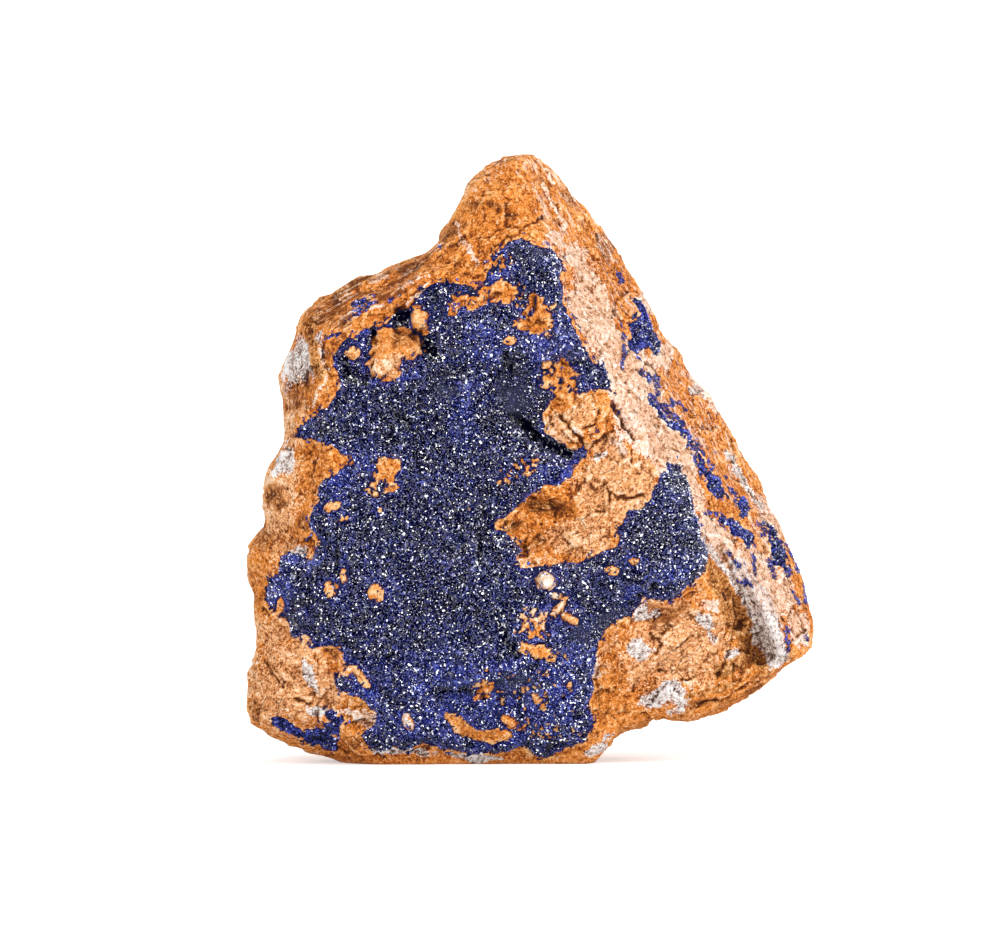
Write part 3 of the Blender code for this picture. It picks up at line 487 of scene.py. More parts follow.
# marks on the rock. stroke and crisp: a line as x, z, its half width, softness and strength
# spot: x, z, half width, half height, turn, strength
rockMarks = {
    "cream": {
        "stroke": [
            ([(6.4, 75.0), (8.0, 71.0)], 1.4), ([(9.0, 69.0), (11.2, 62.4), (13.8, 57.0)], 2.8),
            ([(13.6, 57.6), (16.4, 52.4), (19.4, 48.4), (22.0, 45.2)], 3.6),
            ([(21.6, 45.6), (23.9, 41.0), (26.0, 36.4), (28.0, 31.6)], 1.0),
            ([(27.4, 33.4), (30.0, 30.2), (33.2, 27.6), (35.0, 24.4)], 1.7),
            ([(26.6, 35.4), (30.0, 32.8), (34.6, 29.0), (36.2, 25.6)], 1.4),
            ([(15.6, 60.6), (17.4, 58.0), (18.4, 54.8)], 1.5), ([(24.6, 58.2), (27.2, 53.2)], 1.0),
            ([(-27.2, 7.6), (-22.9, 6.9)], 0.9, 0.5),
        ],
        "crisp": [
            ([(-10.5, 79.1), (-9.0, 76.3), (-7.4, 73.7)], 0.3),
        ],
        "spot": [
            (4.3, 77.4, 1.0, 1.2), (17.1, 67.9, 1.4, 2.0), (39.7, 20.1, 1.2, 3.0), (36.6, 36.2, 2.8, 3.0),
            (20.0, 60.0, 2.0, 1.6, -40), (14.0, 46.4, 0.8, 1.6, 30), (-17.6, 6.7, 0.8, 1.0),
            (2.6, 27.6, 1.0, 0.8), (27.6, 24.0, 1.4, 1.2), (9.4, 15.4, 0.8, 2.2, -10),
            (-21.7, 70.8, 1.3, 0.8, 25), (7.6, 49.0, 0.8, 0.8), (37.4, 24.8, 2.2, 3.4, 20),
        ],
    },
    "ash": {
        "crisp": [
            ([(23.8, 37.5), (25.2, 33.4), (28.1, 29.8), (30.9, 26.1), (32.7, 22.8), (33.3, 18.6),
                (34.8, 14.6)], 0.65),
            ([(33.4, 24.2), (34.6, 20.6), (35.8, 16.4)], 2.3, 0.8), ([(30.6, 29.6), (33.4, 26.0)], 1.0, 0.8),
            ([(29.4, 45.6), (31.6, 41.6), (34.4, 37.6)], 0.45, 0.5),
        ],
        "spot": [
            (-33.5, 59.6, 2.8, 4.2, -20), (-36.0, 44.8, 1.8, 2.8), (16.2, 16.9, 1.8, 1.6, 30),
            (20.2, 10.0, 4.2, 1.8, 12), (-31.9, 14.2, 1.2, 2.6, 30), (30.3, 16.3, 2.4, 0.8, 10),
            (-18.4, 1.6, 4.0, 0.9), (-8.0, 0.9, 4.0, 0.7), (10.2, 2.6, 1.6, 1.1, 35),
            (-30.6, 8.6, 2.0, 0.7, -20), (16.8, 22.6, 1.8, 0.9, 20), (26.4, 20.6, 1.2, 2.0),
            (28.5, 23.1, 0.7, 0.6), (-34.4, 30.8, 1.2, 1.0), (24.8, 55.0, 1.6, 1.4),
            (10.4, 45.6, 1.4, 0.8, 20),
        ],
    },
    # dark brown marks: painted shade in the lower right trough, under the middle recess's overhang and under
    # the lower right edge; along the upper left rim, a darker brown
    "deep": {
        "crisp": [
            ([(26.6, 29.6), (27.9, 27.2)], 0.7), ([(27.9, 27.2), (29.6, 23.6)], 1.3),
            ([(29.6, 23.6), (31.0, 20.6)], 1.7), ([(31.0, 20.6), (32.2, 17.4), (34.4, 14.6)], 1.0),
            ([(28.6, 13.8), (31.6, 15.4)], 1.1, 0.5), ([(3.8, 38.6), (0.8, 38.0)], 0.5),
            ([(-3.6, 36.4), (-2.8, 34.6)], 0.5), ([(23.4, 10.2), (27.4, 10.6), (31.0, 12.4)], 0.4),
            ([(-28.6, 69.0), (-24.5, 71.2), (-20.1, 73.4), (-15.1, 75.2)], 0.6, 0.5),
            ([(-30.6, 66.6), (-31.8, 63.2), (-31.2, 59.6), (-30.4, 57.4)], 0.7, 0.5),
        ],
    },
    "rim": {
        "stroke": [
            ([(-31.0, 67.4), (-27.0, 70.4), (-20.0, 74.0), (-13.0, 77.4)], 2.6),
            ([(-28.4, 64.6), (-23.6, 67.6), (-17.0, 71.0)], 1.6),
            ([(-34.6, 54.0), (-34.0, 50.0)], 2.2, 1.0, 0.8),
        ],
    },
    "stain": {
        "stroke": [
            ([(-28.6, 68.6), (-24.5, 70.8), (-20.1, 73.0), (-14.1, 75.4)], 1.0),
        ],
        "spot": [
            (-3.0, 84.0, 7.5, 6.0, 0, 0.22), (-20.0, 73.0, 9.0, 3.0, 28, 0.2), (18.7, 22.6, 3.0, 1.4, 10),
            (-11.5, 77.7, 1.4, 2.8, -15), (-32.2, 63.8, 1.2, 2.2), (-30.0, 59.6, 0.7, 2.4),
            (-40.1, 7.7, 1.4, 1.8), (-17.8, 72.8, 2.4, 1.0, 28), (25.0, 8.0, 5.0, 0.9, 12),
            (33.8, 12.6, 2.6, 1.0, 35), (-38.6, 33.0, 1.6, 1.6), (3.2, 38.3, 3.4, 0.8),
            (-1.4, 35.3, 1.0, 1.0), (1.5, 32.9, 1.2, 0.9), (-3.6, 89.6, 3.0, 0.8, -10),
            (6.5, 83.1, 1.0, 2.4, 30), (11.4, 76.0, 1.6, 2.2, 35), (-7.4, 82.3, 1.8, 0.9),
            (-4.6, 81.6, 1.6, 0.8), (-2.3, 80.7, 1.2, 0.8), (30.4, 14.2, 1.8, 1.0), (-24.8, 3.8, 2.2, 1.4),
            (-37.2, 39.6, 1.8, 1.4), (-28.8, 17.2, 2.4, 1.0, 20), (-18.0, 62.6, 3.0, 2.0, 20),
            (23.1, 23.5, 1.2, 1.0), (-33.4, 56.0, 2.4, 1.6), (40.3, 21.0, 0.6, 0.8), (-10.0, 3.6, 3.6, 0.9),
            (-20.0, 3.0, 2.4, 0.9), (-33.0, 35.0, 1.2, 1.6), (10.4, 20.0, 0.8, 2.2, -20),
            (22.0, 64.0, 1.4, 2.4, 30),
        ],
    },
    "pale": {
        "spot": [
            (-34.3, 13.4, 7.5, 9.0), (22.0, 18.0, 10.0, 7.0, 15), (-36.6, 44.0, 3.6, 16.0),
            (13.0, 41.6, 7.5, 7.0, 30), (7.6, 34.0, 5.0, 3.4, 20), (36.0, 33.0, 3.0, 4.0, 28),
            (-20.4, 58.8, 2.4, 2.2), (6.0, 50.4, 4.0, 3.0), (2.0, 27.0, 4.0, 5.0), (-14.0, 78.0, 3.0, 3.0),
        ],
    },
    "vein": {
        "stroke": [
            ([(1.0, 88.0), (5.0, 80.0), (9.0, 74.0)], 3.4), ([(8.0, 80.0), (16.0, 68.0)], 3.4),
            ([(20.0, 60.0), (30.0, 46.0), (36.0, 36.0)], 4.4), ([(34.0, 26.0), (37.0, 17.0)], 2.6),
            ([(-12.0, 82.0), (-4.0, 88.0)], 1.6),
        ],
    },
}


def towardsFront(facing):
    # 1 where the surface can be seen from the front
    return ease(-facing[:, 1] + 0.2 * facing[:, 0], 0.0, 0.3)


def matrixMasks(mesh, spots, facing, share, specks, hollow):
    # where the cream band, clay, iron stain and layers lie, and how deep the hollows are, for painted shade
    # in them
    front = towardsFront(facing)
    wander = noiseAt(spots, 4.0, 4, 21.0)
    fine = noiseAt(spots, 1.1, 3, 33.0)
    shaken = shakenSpots(spots)
    bent = spots.copy()
    bent[:, 0] += 1.4 * noiseAt(spots, 4.5, 3, 51.0) + 0.4 * fine
    bent[:, 2] += 1.4 * noiseAt(spots, 4.5, 3, 61.0)

    def stroke(line, width, soft=1.0, strength=1.0):
        away = awayFrom(bent, line) + 0.6 * wander + 0.5 * fine
        return (1.0 - ease(away, width - soft, width + soft)) * front * strength

    def crisp(line, width, soft=0.35, strength=1.0):
        away = awayFrom(shaken, line) + 0.2 * fine
        return (1.0 - ease(away, width - soft, width + soft)) * front * strength

    def spot(x, z, width, height, turn=0.0, strength=1.0):
        near = awayFromSpot(bent, x, z, width, height, turn) + 0.4 * wander + 0.3 * fine
        return (1.0 - ease(near, 0.4, 1.4)) * front * strength

    draw = {"stroke": stroke, "crisp": crisp, "spot": spot}
    masks = {
        name: np.maximum.reduce([draw[kind](*mark) for kind in marks for mark in marks[kind]])
        for name, marks in rockMarks.items()
    }

    def drawn(lines, inner, outer):
        # 1 along each of the lines, 0 past its half width times outer
        away = [(awayFrom(shaken, line), width) for width, _, line in lines]
        return np.maximum.reduce([1.0 - ease(gap, width * inner, width * outer) for gap, width in away])

    layers = drawn(rockShells, 0.4, 1.2)
    cracks = drawn(rockCracks, 0.2, 0.9)
    cracks *= 0.4 + 0.6 * ease(fine, -0.3, 0.2)
    masks["cream"] = np.maximum(masks["cream"], layers * front * (fine > -0.35))
    masks["stain"] = np.maximum(masks["stain"], cracks * front)
    masks["pale"] = np.maximum(masks["pale"], (1.0 - front) * ease(wander, -0.2, 0.5) * 0.6)
    masks["crusted"] = np.maximum(ease(share, 0.25, 0.5), 0.7 * specks)
    # the hollows' depth, for painted shade in the rock's colour
    masks["hollow"] = 0.5 + hollow
    for name, values in masks.items():
        storeMask(mesh, name, values)


def hollows(mesh, spots, facing, rounds):
    # how far each spot lies under the average of its surroundings, in millimetres
    ends = np.empty(len(mesh.edges) * 2, dtype=np.int32)
    mesh.edges.foreach_get("vertices", ends)
    a, b = ends.reshape(-1, 2).T
    count = np.bincount(a, minlength=len(spots)) + np.bincount(b, minlength=len(spots))
    even = spots.copy()
    for _ in range(rounds):
        around = np.empty_like(even)
        for axis in range(3):
            around[:, axis] = np.bincount(a, even[b, axis], len(spots))
            around[:, axis] += np.bincount(b, even[a, axis], len(spots))
        even = around / np.maximum(count, 1)[:, None]
    return ((even - spots) * facing).sum(axis=1)


def speckShare(spots, facing, share):
    # loose crystals on the rock: along trails, and thinning out from the crust's edge
    front = towardsFront(facing)
    clusters = noiseAt(spots, 1.0, 3, 81.0)
    trail = np.full(len(spots), -9.0)
    for width, line in crystalTrails:
        trail = np.maximum(trail, 1.0 - awayFrom(spots, line) / width)
    fringe = 1.0 - ease(-share, 0.0, 1.3)
    trails = ease(trail + clusters * 0.9, 0.15, 0.5) * front
    around = ease(fringe + clusters * 0.8, 0.95, 1.2) * front
    return np.where(share < 0.2, np.maximum(trails, around), 0.0)


def makeMatrix(skin, share):
    mesh = skin.data.copy()
    spots, facing = coordinates(mesh), normals(mesh)
    v = matrixValues
    bare = 1.0 - ease(share, 0.3, 1.0)
    front = ease(-facing[:, 1] + 0.9 * facing[:, 0], -0.2, 0.2)
    chips = chipsAt(spots, v["chipSize"], 3.0) * v["chipHeight"]
    chips += chipsAt(spots, v["smallChipSize"], 9.0) * v["smallChipHeight"]
    rough = noiseAt(spots, v["grainSize"], 3, 2.0) * v["grain"]
    pits = -ease(noiseAt(spots, v["pitSize"], 2, 14.0), 0.42, 0.7) * v["pits"]
    ragged = 1.0 - ease(np.abs(noiseAt(spots, v["wormSize"], 3, 91.0)), 0.0, 0.10)
    worms = -ragged * ease(noiseAt(spots, 5.0, 2, 95.0), -0.1, 0.3) * v["worms"]
    lift = (chips + rough + pits + worms) * bare - (1.0 - bare) * v["underCrust"]
    shaken = shakenSpots(spots)
    for width, depth, line in rockCracks:
        lift -= depth * (1.0 - ease(awayFrom(shaken, line), 0.0, width * 1.3)) * front
    for width, height, line in rockShells:
        lift += height * (1.0 - ease(awayFrom(shaken, line), 0.0, width * 1.6)) * front
    for x, z, width, height, turn, rise in crustWindows:
        lift += rise * (1.0 - ease(awayFromSpot(spots, x, z, width, height, turn), 0.3, 1.15)) * front
    lift -= foldDepth(spots)
    lift *= ease(spots[:, 2], 0.25, 1.8)
    spots = spots + facing * lift[:, None]
    low, high = np.array(cadBox[0]) / mm, np.array(cadBox[1]) / mm
    moveTo(mesh, np.clip(spots, low, high))
    facing = normals(mesh)
    # how deep each spot lies in a hollow; the rock's colour is darkened there as painted shade
    hollow = 1.6 * hollows(mesh, spots, facing, 2) + 0.55 * hollows(mesh, spots, facing, 10)
    specks = speckShare(spots, facing, share)
    matrixMasks(mesh, spots, facing, share, specks, hollow)
    storeMask(mesh, "grow", specks)
    storeMask(mesh, "bulk", np.full(len(spots), 0.75))
    storeMask(mesh, "blue", np.full(len(spots), 0.75))
    storeMask(mesh, "dull", np.zeros(len(spots)))
    storeMask(mesh, "shade", np.zeros(len(spots)))
    mesh.materials.clear()
    mesh.materials.append(limoniteMaterial())
    mesh.shade_smooth()
    return addObject("limoniteMatrix", mesh, ["limonite_matrix"])


# colours by tone, from dark to light: a place on the ramp, then the colour
limoniteRamps = {
    "rust": ((0.06, (0.17, 0.03, 0.004)), (0.28, (0.50, 0.125, 0.013)), (0.52, (0.78, 0.25, 0.036)),
        (0.74, (0.90, 0.37, 0.095)), (0.95, (0.97, 0.62, 0.32))),
    "salmon": ((0.06, (0.19, 0.05, 0.012)), (0.28, (0.56, 0.20, 0.065)), (0.52, (0.84, 0.38, 0.145)),
        (0.74, (0.94, 0.56, 0.29)), (0.95, (1.0, 0.80, 0.62))),
    "clay": ((0.06, (0.28, 0.09, 0.03)), (0.28, (0.68, 0.34, 0.17)), (0.50, (0.90, 0.62, 0.44)),
        (0.78, (1.0, 0.92, 0.85))),
    "grey": ((0.06, (0.12, 0.05, 0.03)), (0.28, (0.40, 0.27, 0.21)), (0.50, (0.68, 0.58, 0.54)),
        (0.78, (0.93, 0.90, 0.89))),
    "dark": ((0.08, (0.04, 0.008, 0.002)), (0.34, (0.18, 0.04, 0.005)), (0.62, (0.46, 0.14, 0.022)),
        (0.90, (0.78, 0.37, 0.13))),
    "brown": ((0.10, (0.08, 0.016, 0.003)), (0.40, (0.34, 0.10, 0.014)), (0.66, (0.62, 0.25, 0.06)),
        (0.92, (0.88, 0.52, 0.24))),
}
limoniteTints = {
    "streak": (1.0, 0.85, 0.72),
    "dirt": (0.24, 0.07, 0.016),
    "rimStain": (0.13, 0.03, 0.006),
    "rimPale": (0.95, 0.76, 0.62),
    "fleck": (1.0, 0.78, 0.58),
    "pit": (0.085, 0.02, 0.004),
    "crack": (0.07, 0.016, 0.004),
    "hollow": (0.11, 0.025, 0.005),
    # painted shade in the hollows
    "rosy": (0.72, 0.28, 0.12),
    "azurite": (0.010, 0.013, 0.075),
}


def limoniteMaterial():
    tints = limoniteTints
    paint = Paint("limonite")
    where = paint.place()
    along = paint.place((0.0, math.radians(30.0), 0.0), (1.0, 0.7, 0.16))   # drawn out down the flank
    broad = paint.noise(where, 16.0, 3.0, 0.6, 0.6)
    mottle = paint.noise(where, 3.0, 6.0, 0.70, 0.9)
    fine = paint.noise(where, 0.60, 6.0, 0.76, 0.4)
    grain = paint.noise(where, 0.24, 3.0, 0.8)
    streak = paint.noise(along, 0.55, 5.0, 0.7, 0.3)
    across = paint.place((0.0, math.radians(-62.0), 0.0), (1.0, 0.7, 0.14))   # drawn out along the upper rim
    band = paint.noise(across, 0.5, 5.0, 0.7, 0.3)
    crumbs = paint.cells(where, 0.24, output="Color") * 1.0   # a random grey for each cell
    clods = paint.cells(where, 0.5, output="Color") * 1.0
    cracks = paint.cells(paint.place((0.3, 0.5, 0.2)), 2.6, "DISTANCE_TO_EDGE")
    # the hollows' depth from the mesh, which paints shade into the tone, the pits and the colour
    hollow = paint.stored("hollow") - 0.5
    grit = (fine - 0.5) * 0.6 + (grain - 0.5) * 0.8 + (crumbs - 0.5) * 0.7 + (clods - 0.5) * 0.3
    tone = (broad * 0.5 + mottle * 0.6 + grit * 1.1 - hollow * 0.9 - 0.10).clamped()
    rust, salmon, clay, grey, dark, brown = [paint.ramp(tone, *stops) for stops in limoniteRamps.values()]

    def edged(name, grittiness=1.1):
        # a mask whose edge breaks up into grains
        return (paint.stored(name) + grit * grittiness + (mottle - 0.5) * 0.7).step(0.34, 0.62)

    colour = paint.mix(edged("pale"), rust, salmon)
    colour = paint.mix(edged("stain") * 0.9, colour, dark)
    colour = paint.mix(edged("cream"), colour, clay)
    ashy = edged("ash", 0.8)
    colour = paint.mix(ashy, colour, grey)
    # the dark brown marks: painted shade in the trough and under overhangs, and the upper left rim's darker
    # brown
    colour = paint.mix(edged("deep"), colour, brown)
    white = (streak + paint.stored("vein") * 0.22 + (grain - 0.5) * 0.3).step(0.74, 0.86)
    colour = paint.mix(white * 0.65, colour, tints["streak"])
    dirt = ((1.0 - streak) + paint.stored("vein") * 0.22 + (grain - 0.5) * 0.3).step(0.77, 0.9)
    colour = paint.mix(dirt * 0.38, colour, tints["dirt"])
    rim = paint.stored("rim")
    stained = ((1.0 - band) + rim * 0.3 + (grain - 0.5) * 0.3).step(0.74, 0.86)
    colour = paint.mix(stained * rim * 0.85, colour, tints["rimStain"])
    paler = (band + rim * 0.25 + (grain - 0.5) * 0.3).step(0.80, 0.88)
    colour = paint.mix(paler * rim * 0.8, colour, tints["rimPale"])
    scatter = paint.noise(where, 1.9, 6.0, 0.8)
    colour = paint.mix((scatter + grit * 0.6).step(0.70, 0.86) * 0.7, colour, tints["fleck"])
    # dark pits, with more of them in the hollows as painted shade
    pits = (paint.noise(where, 0.30, 4.0, 0.8, 1.6) + hollow * -0.4).step(0.39, 0.28)
    colour = paint.mix(pits * (0.8 - paint.stored("pale") * 0.35), colour, tints["pit"])
    split = (1.0 - cracks.step(0.0, 0.035)) * (mottle + (grain - 0.5) * 0.4).step(0.52, 0.60)
    colour = paint.mix(split * 0.8, colour, tints["crack"])
    # painted shade: dark brown in the hollows, less on the grey ash
    shade = (hollow * 2.0).step(0.12, 1.0)
    colour = paint.mix(shade * 0.65 * (1.0 - ashy * 0.8), colour, tints["hollow"])
    rosy = (grain * 0.6 + crumbs * 0.5 + (fine - 0.5) * 0.4).step(0.60, 0.72) * paint.stored("cream")
    colour = paint.mix(rosy * 0.8, colour, tints["rosy"])
    blue = (paint.stored("crusted") + grit * 0.9).step(0.5, 0.62)
    colour = paint.mix(blue, colour, tints["azurite"])
    height = mottle * 0.2 + fine * 0.45 + grain * 0.6 + crumbs * 0.5 - pits * 0.3 - split * 0.4
    paint.feed(
        Base_Color=colour, Roughness=(0.95 - fine * 0.2), Specular_IOR_Level=0.2,
        Normal=paint.bump(height, matrixValues["bump"] * mm)
    )
    return paint.material


# azurite crusts
crustValues = {
    "thickness": 0.8,
    "lumpSize": 2.3,
    "lumpHeight": 0.47,
    "smallLumpSize": 0.95,
    "smallLumpHeight": 0.16,
    "crystalGap": 0.205,
    "crystalLength": 0.47,
    "speckGap": 0.24,
    "speckLength": 0.46,
    "sheetDrop": 0.12,    # how far the skin lies below the crystals' tips
    "edgeDrop": 0.55,     # and how much further at its edge
    "reach": 2.2,         # the farthest that a crust spreads from its own node
    "cuts": [-9.0, 17.0, 30.0, 46.0, 99.0],   # the main crust's crystals are made in bands by height
    "overlap": 0.9,
}
# brightness and gloss: crystals of the main crust, of the small patches, and the skin under them
azuriteLooks = {"azurite": (0.03, 1.6), "azuriteLoose": (0.10, 0.8), "azuriteBase": (-0.2, 0.0)}
azuriteRamp = (
    (0.0, (0.001, 0.001, 0.008)), (0.30, (0.006, 0.008, 0.056)), (0.55, (0.019, 0.027, 0.20)),
    (0.78, (0.045, 0.066, 0.46)), (1.0, (0.13, 0.19, 0.80))
)
dullSlate = (0.028, 0.030, 0.062)
# bluer zones, and zones of fine dull crystals: x, z, half width, half height, turn
blueZones = [
    (-33.0, 30.4, 3.4, 1.6, 0), (-25.2, 8.6, 3.0, 1.6, 0), (-17.6, 57.8, 2.6, 1.6, 0),
    (-9.9, 50.8, 2.0, 5.0, 0), (-8.4, 9.9, 17.0, 8.0, 0), (4.7, 17.2, 6.5, 7.0, 0),
    (-6.6, 62.0, 3.0, 4.0, 20), (-23.0, 63.6, 3.4, 2.6, 0), (3.0, 62.0, 4.0, 6.0, 20),
    (-4.6, 73.4, 3.0, 2.6, 0), (-37.0, 26.0, 3.0, 4.0, 0), (19.0, 27.6, 7.0, 1.4, 25),
    (-30.0, 46.0, 4.0, 1.4, 0), (-16.6, 71.4, 4.0, 1.2, 25), (3.6, 43.0, 3.6, 2.0, 30),
    (-25.6, 43.4, 5.0, 2.6, 40),
]
dullZones = [
    (-1.6, 54.0, 4.2, 4.0, 0), (12.3, 20.9, 4.8, 2.6, 0), (-9.2, 69.3, 2.2, 1.5, 0), (0.3, 75.9, 3.2, 2.0, 0),
    (9.1, 20.1, 4.4, 2.6, 0), (-12.0, 56.0, 2.6, 2.0, 0), (-2.0, 12.4, 3.6, 1.8, 0),
]


def azuriteMaterial(name):
    # a look without gloss is the matt skin between the crystals
    brightness, gloss = azuriteLooks[name]
    paint = Paint(name)
    where = paint.place()
    tint = paint.stored("tint")
    blue = paint.stored("blue")
    dull = paint.stored("dull")
    patchy = paint.noise(where, 3.2, 4.0, 0.65, 0.5)
    shade = paint.stored("shade")
    tone = (tint * 0.62 + blue * 0.36 + (patchy - 0.5) * 0.6 + brightness - shade * 0.5).clamped()
    colour = paint.ramp(tone, *azuriteRamp)
    if not gloss:
        colour = paint.mix(dull * 0.8, colour, dullSlate)
    rough = 0.11 + tint * 0.10 + dull * 0.22 + shade * 0.3
    paint.feed(
        Base_Color=colour, Roughness=rough if gloss else 0.7, IOR=1.0 + gloss,
        Specular_IOR_Level=1.0 if gloss else 0.08
    )
    return paint.material


def crystalShapes():
    # a blade, a block and a wedge, each about one unit long
    shapes = []
    kinds = {
        "blade": ((0.66, 0.32, 0.95), (0.40, 0.80, 1.0), 0.10),
        "block": ((0.62, 0.54, 0.70), (0.80, 0.42, 1.0), -0.06),
        "wedge": ((0.74, 0.44, 0.80), (0.62, 0.16, 1.0), 0.05),
    }
    for kind, (wide, pinch, lean) in kinds.items():
        bm = bmesh.new()
        bmesh.ops.create_cube(bm, size=1.0)
        bmesh.ops.scale(bm, vec=wide, verts=bm.verts)
        upper = [v for v in bm.verts if v.co.z > 0.0]
        bmesh.ops.scale(bm, vec=pinch, verts=upper)
        bmesh.ops.translate(bm, vec=(lean, lean * 0.5, 0.0), verts=upper)
        under = [f for f in bm.faces if f.normal.z < -0.9]
        bmesh.ops.delete(bm, geom=under, context="FACES_ONLY")
        mesh = bpy.data.meshes.new(kind)
        bm.to_mesh(mesh)
        bm.free()
        shapes.append(bpy.data.objects.new(kind, mesh))
    return shapes


def growCrystals(ground, shapes, gap, length, seed, lean=0.85):
    # scatters crystals over the ground mesh with geometry nodes and gives them back as one mesh
    basket = bpy.data.collections.new("crystalShapes")
    for shape in shapes:
        basket.objects.link(shape)
    tree = bpy.data.node_groups.new("growCrystals", "GeometryNodeTree")
    tree.interface.new_socket("Geometry", in_out="INPUT", socket_type="NodeSocketGeometry")
    tree.interface.new_socket("Geometry", in_out="OUTPUT", socket_type="NodeSocketGeometry")

    def add(kind, settings=None, sockets=None, **named):
        made = tree.nodes.new(kind)
        for key, value in (settings or {}).items():
            setattr(made, key, value)
        for key, value in [*(sockets or {}).items(), *named.items()]:
            socket = made.inputs[key if isinstance(key, int) else key.replace("_", " ")]
            if isinstance(value, bpy.types.NodeSocket):
                tree.links.new(value, socket)
            else:
                socket.default_value = value
        return made

    def chance(low, high, offset):
        made = add("FunctionNodeRandomValue", {"data_type": "FLOAT"}, {2: low, 3: high}, Seed=seed + offset)
        return made.outputs[1]

    def worked(operation, *values):
        return add("ShaderNodeMath", {"operation": operation}, dict(enumerate(values))).outputs[0]

    def stored(name):
        return add("GeometryNodeInputNamedAttribute", {"data_type": "FLOAT"}, Name=name).outputs["Attribute"]

    source = add("NodeGroupInput").outputs[0]
    scatter = add(
        "GeometryNodeDistributePointsOnFaces", {"distribute_method": "POISSON"}, Mesh=source,
        Distance_Min=gap * mm, Density_Max=1.6 / (gap * mm) ** 2, Density_Factor=stored("grow"), Seed=seed
    )
    # each crystal leans a little and is turned anyhow about its own axis
    turn = add(
        "FunctionNodeRandomValue", {"data_type": "FLOAT_VECTOR"},
        {0: (-lean, -lean, 0.0), 1: (lean, lean, 6.283)}, Seed=seed + 1
    )
    facing = add(
        "FunctionNodeRotateRotation", {"rotation_space": "LOCAL"}, Rotation=scatter.outputs["Rotation"],
        Rotate_By=add("FunctionNodeEulerToRotation", Euler=turn.outputs[0]).outputs[0]
    )
    large = worked("POWER", chance(0.0, 1.0, 3), 8.0)   # a few crystals are much larger
    size = worked("MULTIPLY", worked("MULTIPLY_ADD", large, 0.75, chance(0.6, 1.2, 2)), stored("bulk"))
    pick = add("GeometryNodeCollectionInfo", {"transform_space": "ORIGINAL"}, Collection=basket,
               Separate_Children=True, Reset_Children=True)
    grown = add(
        "GeometryNodeInstanceOnPoints", Points=scatter.outputs["Points"], Instance=pick.outputs[0],
        Pick_Instance=True, Rotation=facing.outputs[0], Scale=worked("MULTIPLY", size, length * mm)
    )
    named = add(
        "GeometryNodeStoreNamedAttribute", {"data_type": "FLOAT", "domain": "INSTANCE"},
        Geometry=grown.outputs[0], Name="tint", Value=chance(0.0, 1.0, 4)
    )
    solid = add("GeometryNodeRealizeInstances", Geometry=named.outputs[0])
    add("NodeGroupOutput", None, {0: solid.outputs[0]})
    holder = bpy.data.objects.new("crystalGround", ground.copy())
    bpy.context.scene.collection.objects.link(holder)
    holder.modifiers.new("grow", "NODES").node_group = tree
    mesh = settled(holder)
    bpy.data.objects.remove(holder)
    for shape in shapes:
        basket.objects.unlink(shape)
    bpy.data.collections.remove(basket)
    bpy.data.node_groups.remove(tree)
    return mesh


def keepFaces(mesh, keep):
    # drops the faces that aren't wholly on the chosen spots
    bm = bmesh.new()
    bm.from_mesh(mesh)
    bm.verts.ensure_lookup_table()
    rest = [f for f in bm.faces if not all(keep[v.index] for v in f.verts)]
    bmesh.ops.delete(bm, geom=rest, context="FACES")
    bm.to_mesh(mesh)
    bm.free()


def zoneShare(spots, zones):
    share = np.zeros(len(spots))
    for x, z, width, height, turn in zones:
        near = awayFromSpot(spots, x, z, width, height, turn)
        share = np.maximum(share, 1.0 - ease(near, 0.5, 1.3))
    return share


def crustSkin(skin, share):
    # the crust's own surface: lumpy, thinning into the rock at its edge
    mesh = skin.data.copy()
    spots, facing = coordinates(mesh), normals(mesh)
    v = crustValues
    lumps = noiseAt(spots, v["lumpSize"], 3, 40.0) * v["lumpHeight"]
    lumps += noiseAt(spots, v["smallLumpSize"], 2, 44.0) * v["smallLumpHeight"]
    inner = ease(share, 0.0, 0.8)
    fold = foldDepth(spots)
    lift = lumps * inner - v["sheetDrop"] - v["edgeDrop"] * (1.0 - inner) - fold
    moved = spots + facing * lift[:, None]
    moveTo(mesh, moved)
    wander = noiseAt(spots, 1.6, 3, 47.0)
    rim = 1.0 - ease(share, 0.3, 1.5)
    dull = zoneShare(spots, dullZones) * ease(wander, -0.4, 0.2)
    blue = zoneShare(spots, blueZones) * (0.55 + 0.7 * wander) + 0.85 * rim + 0.5 * lumps + 0.06
    blue = np.clip(blue, 0.0, 1.0)
    # in the grooves fewer crystals grow, and the blue drops and the shade mask darkens and dulls them:
    # painted shade
    folded = ease(fold, 0.2, 0.9)
    storeMask(mesh, "grow", ease(share, 0.0, 0.2) * (1.0 - 0.2 * dull) * (1.0 - 0.8 * folded))
    storeMask(mesh, "bulk", (0.72 + 0.28 * ease(share, 0.4, 1.4)) * (1.0 - 0.42 * dull))
    storeMask(mesh, "blue", blue * (1.0 - 0.7 * dull) * (1.0 - folded))
    storeMask(mesh, "shade", folded)
    storeMask(mesh, "dull", dull)
    storeMask(mesh, "tint", 0.30 + 0.2 * wander)
    return mesh


def owners(spots):
    # the crust node each spot is nearest to
    away = np.array([awayFromTree(spots, treeOf([name])) for name in crustNodes])
    return away.argmin(axis=0), away.min(axis=0)


def addCrystals(name, ground, shapes, gap, length, seed, material):
    crystals = growCrystals(ground, shapes, gap, length, seed)
    crystals.materials.clear()
    crystals.materials.append(material)
    addObject(name, crystals)
    print(name, len(crystals.polygons), "faces")


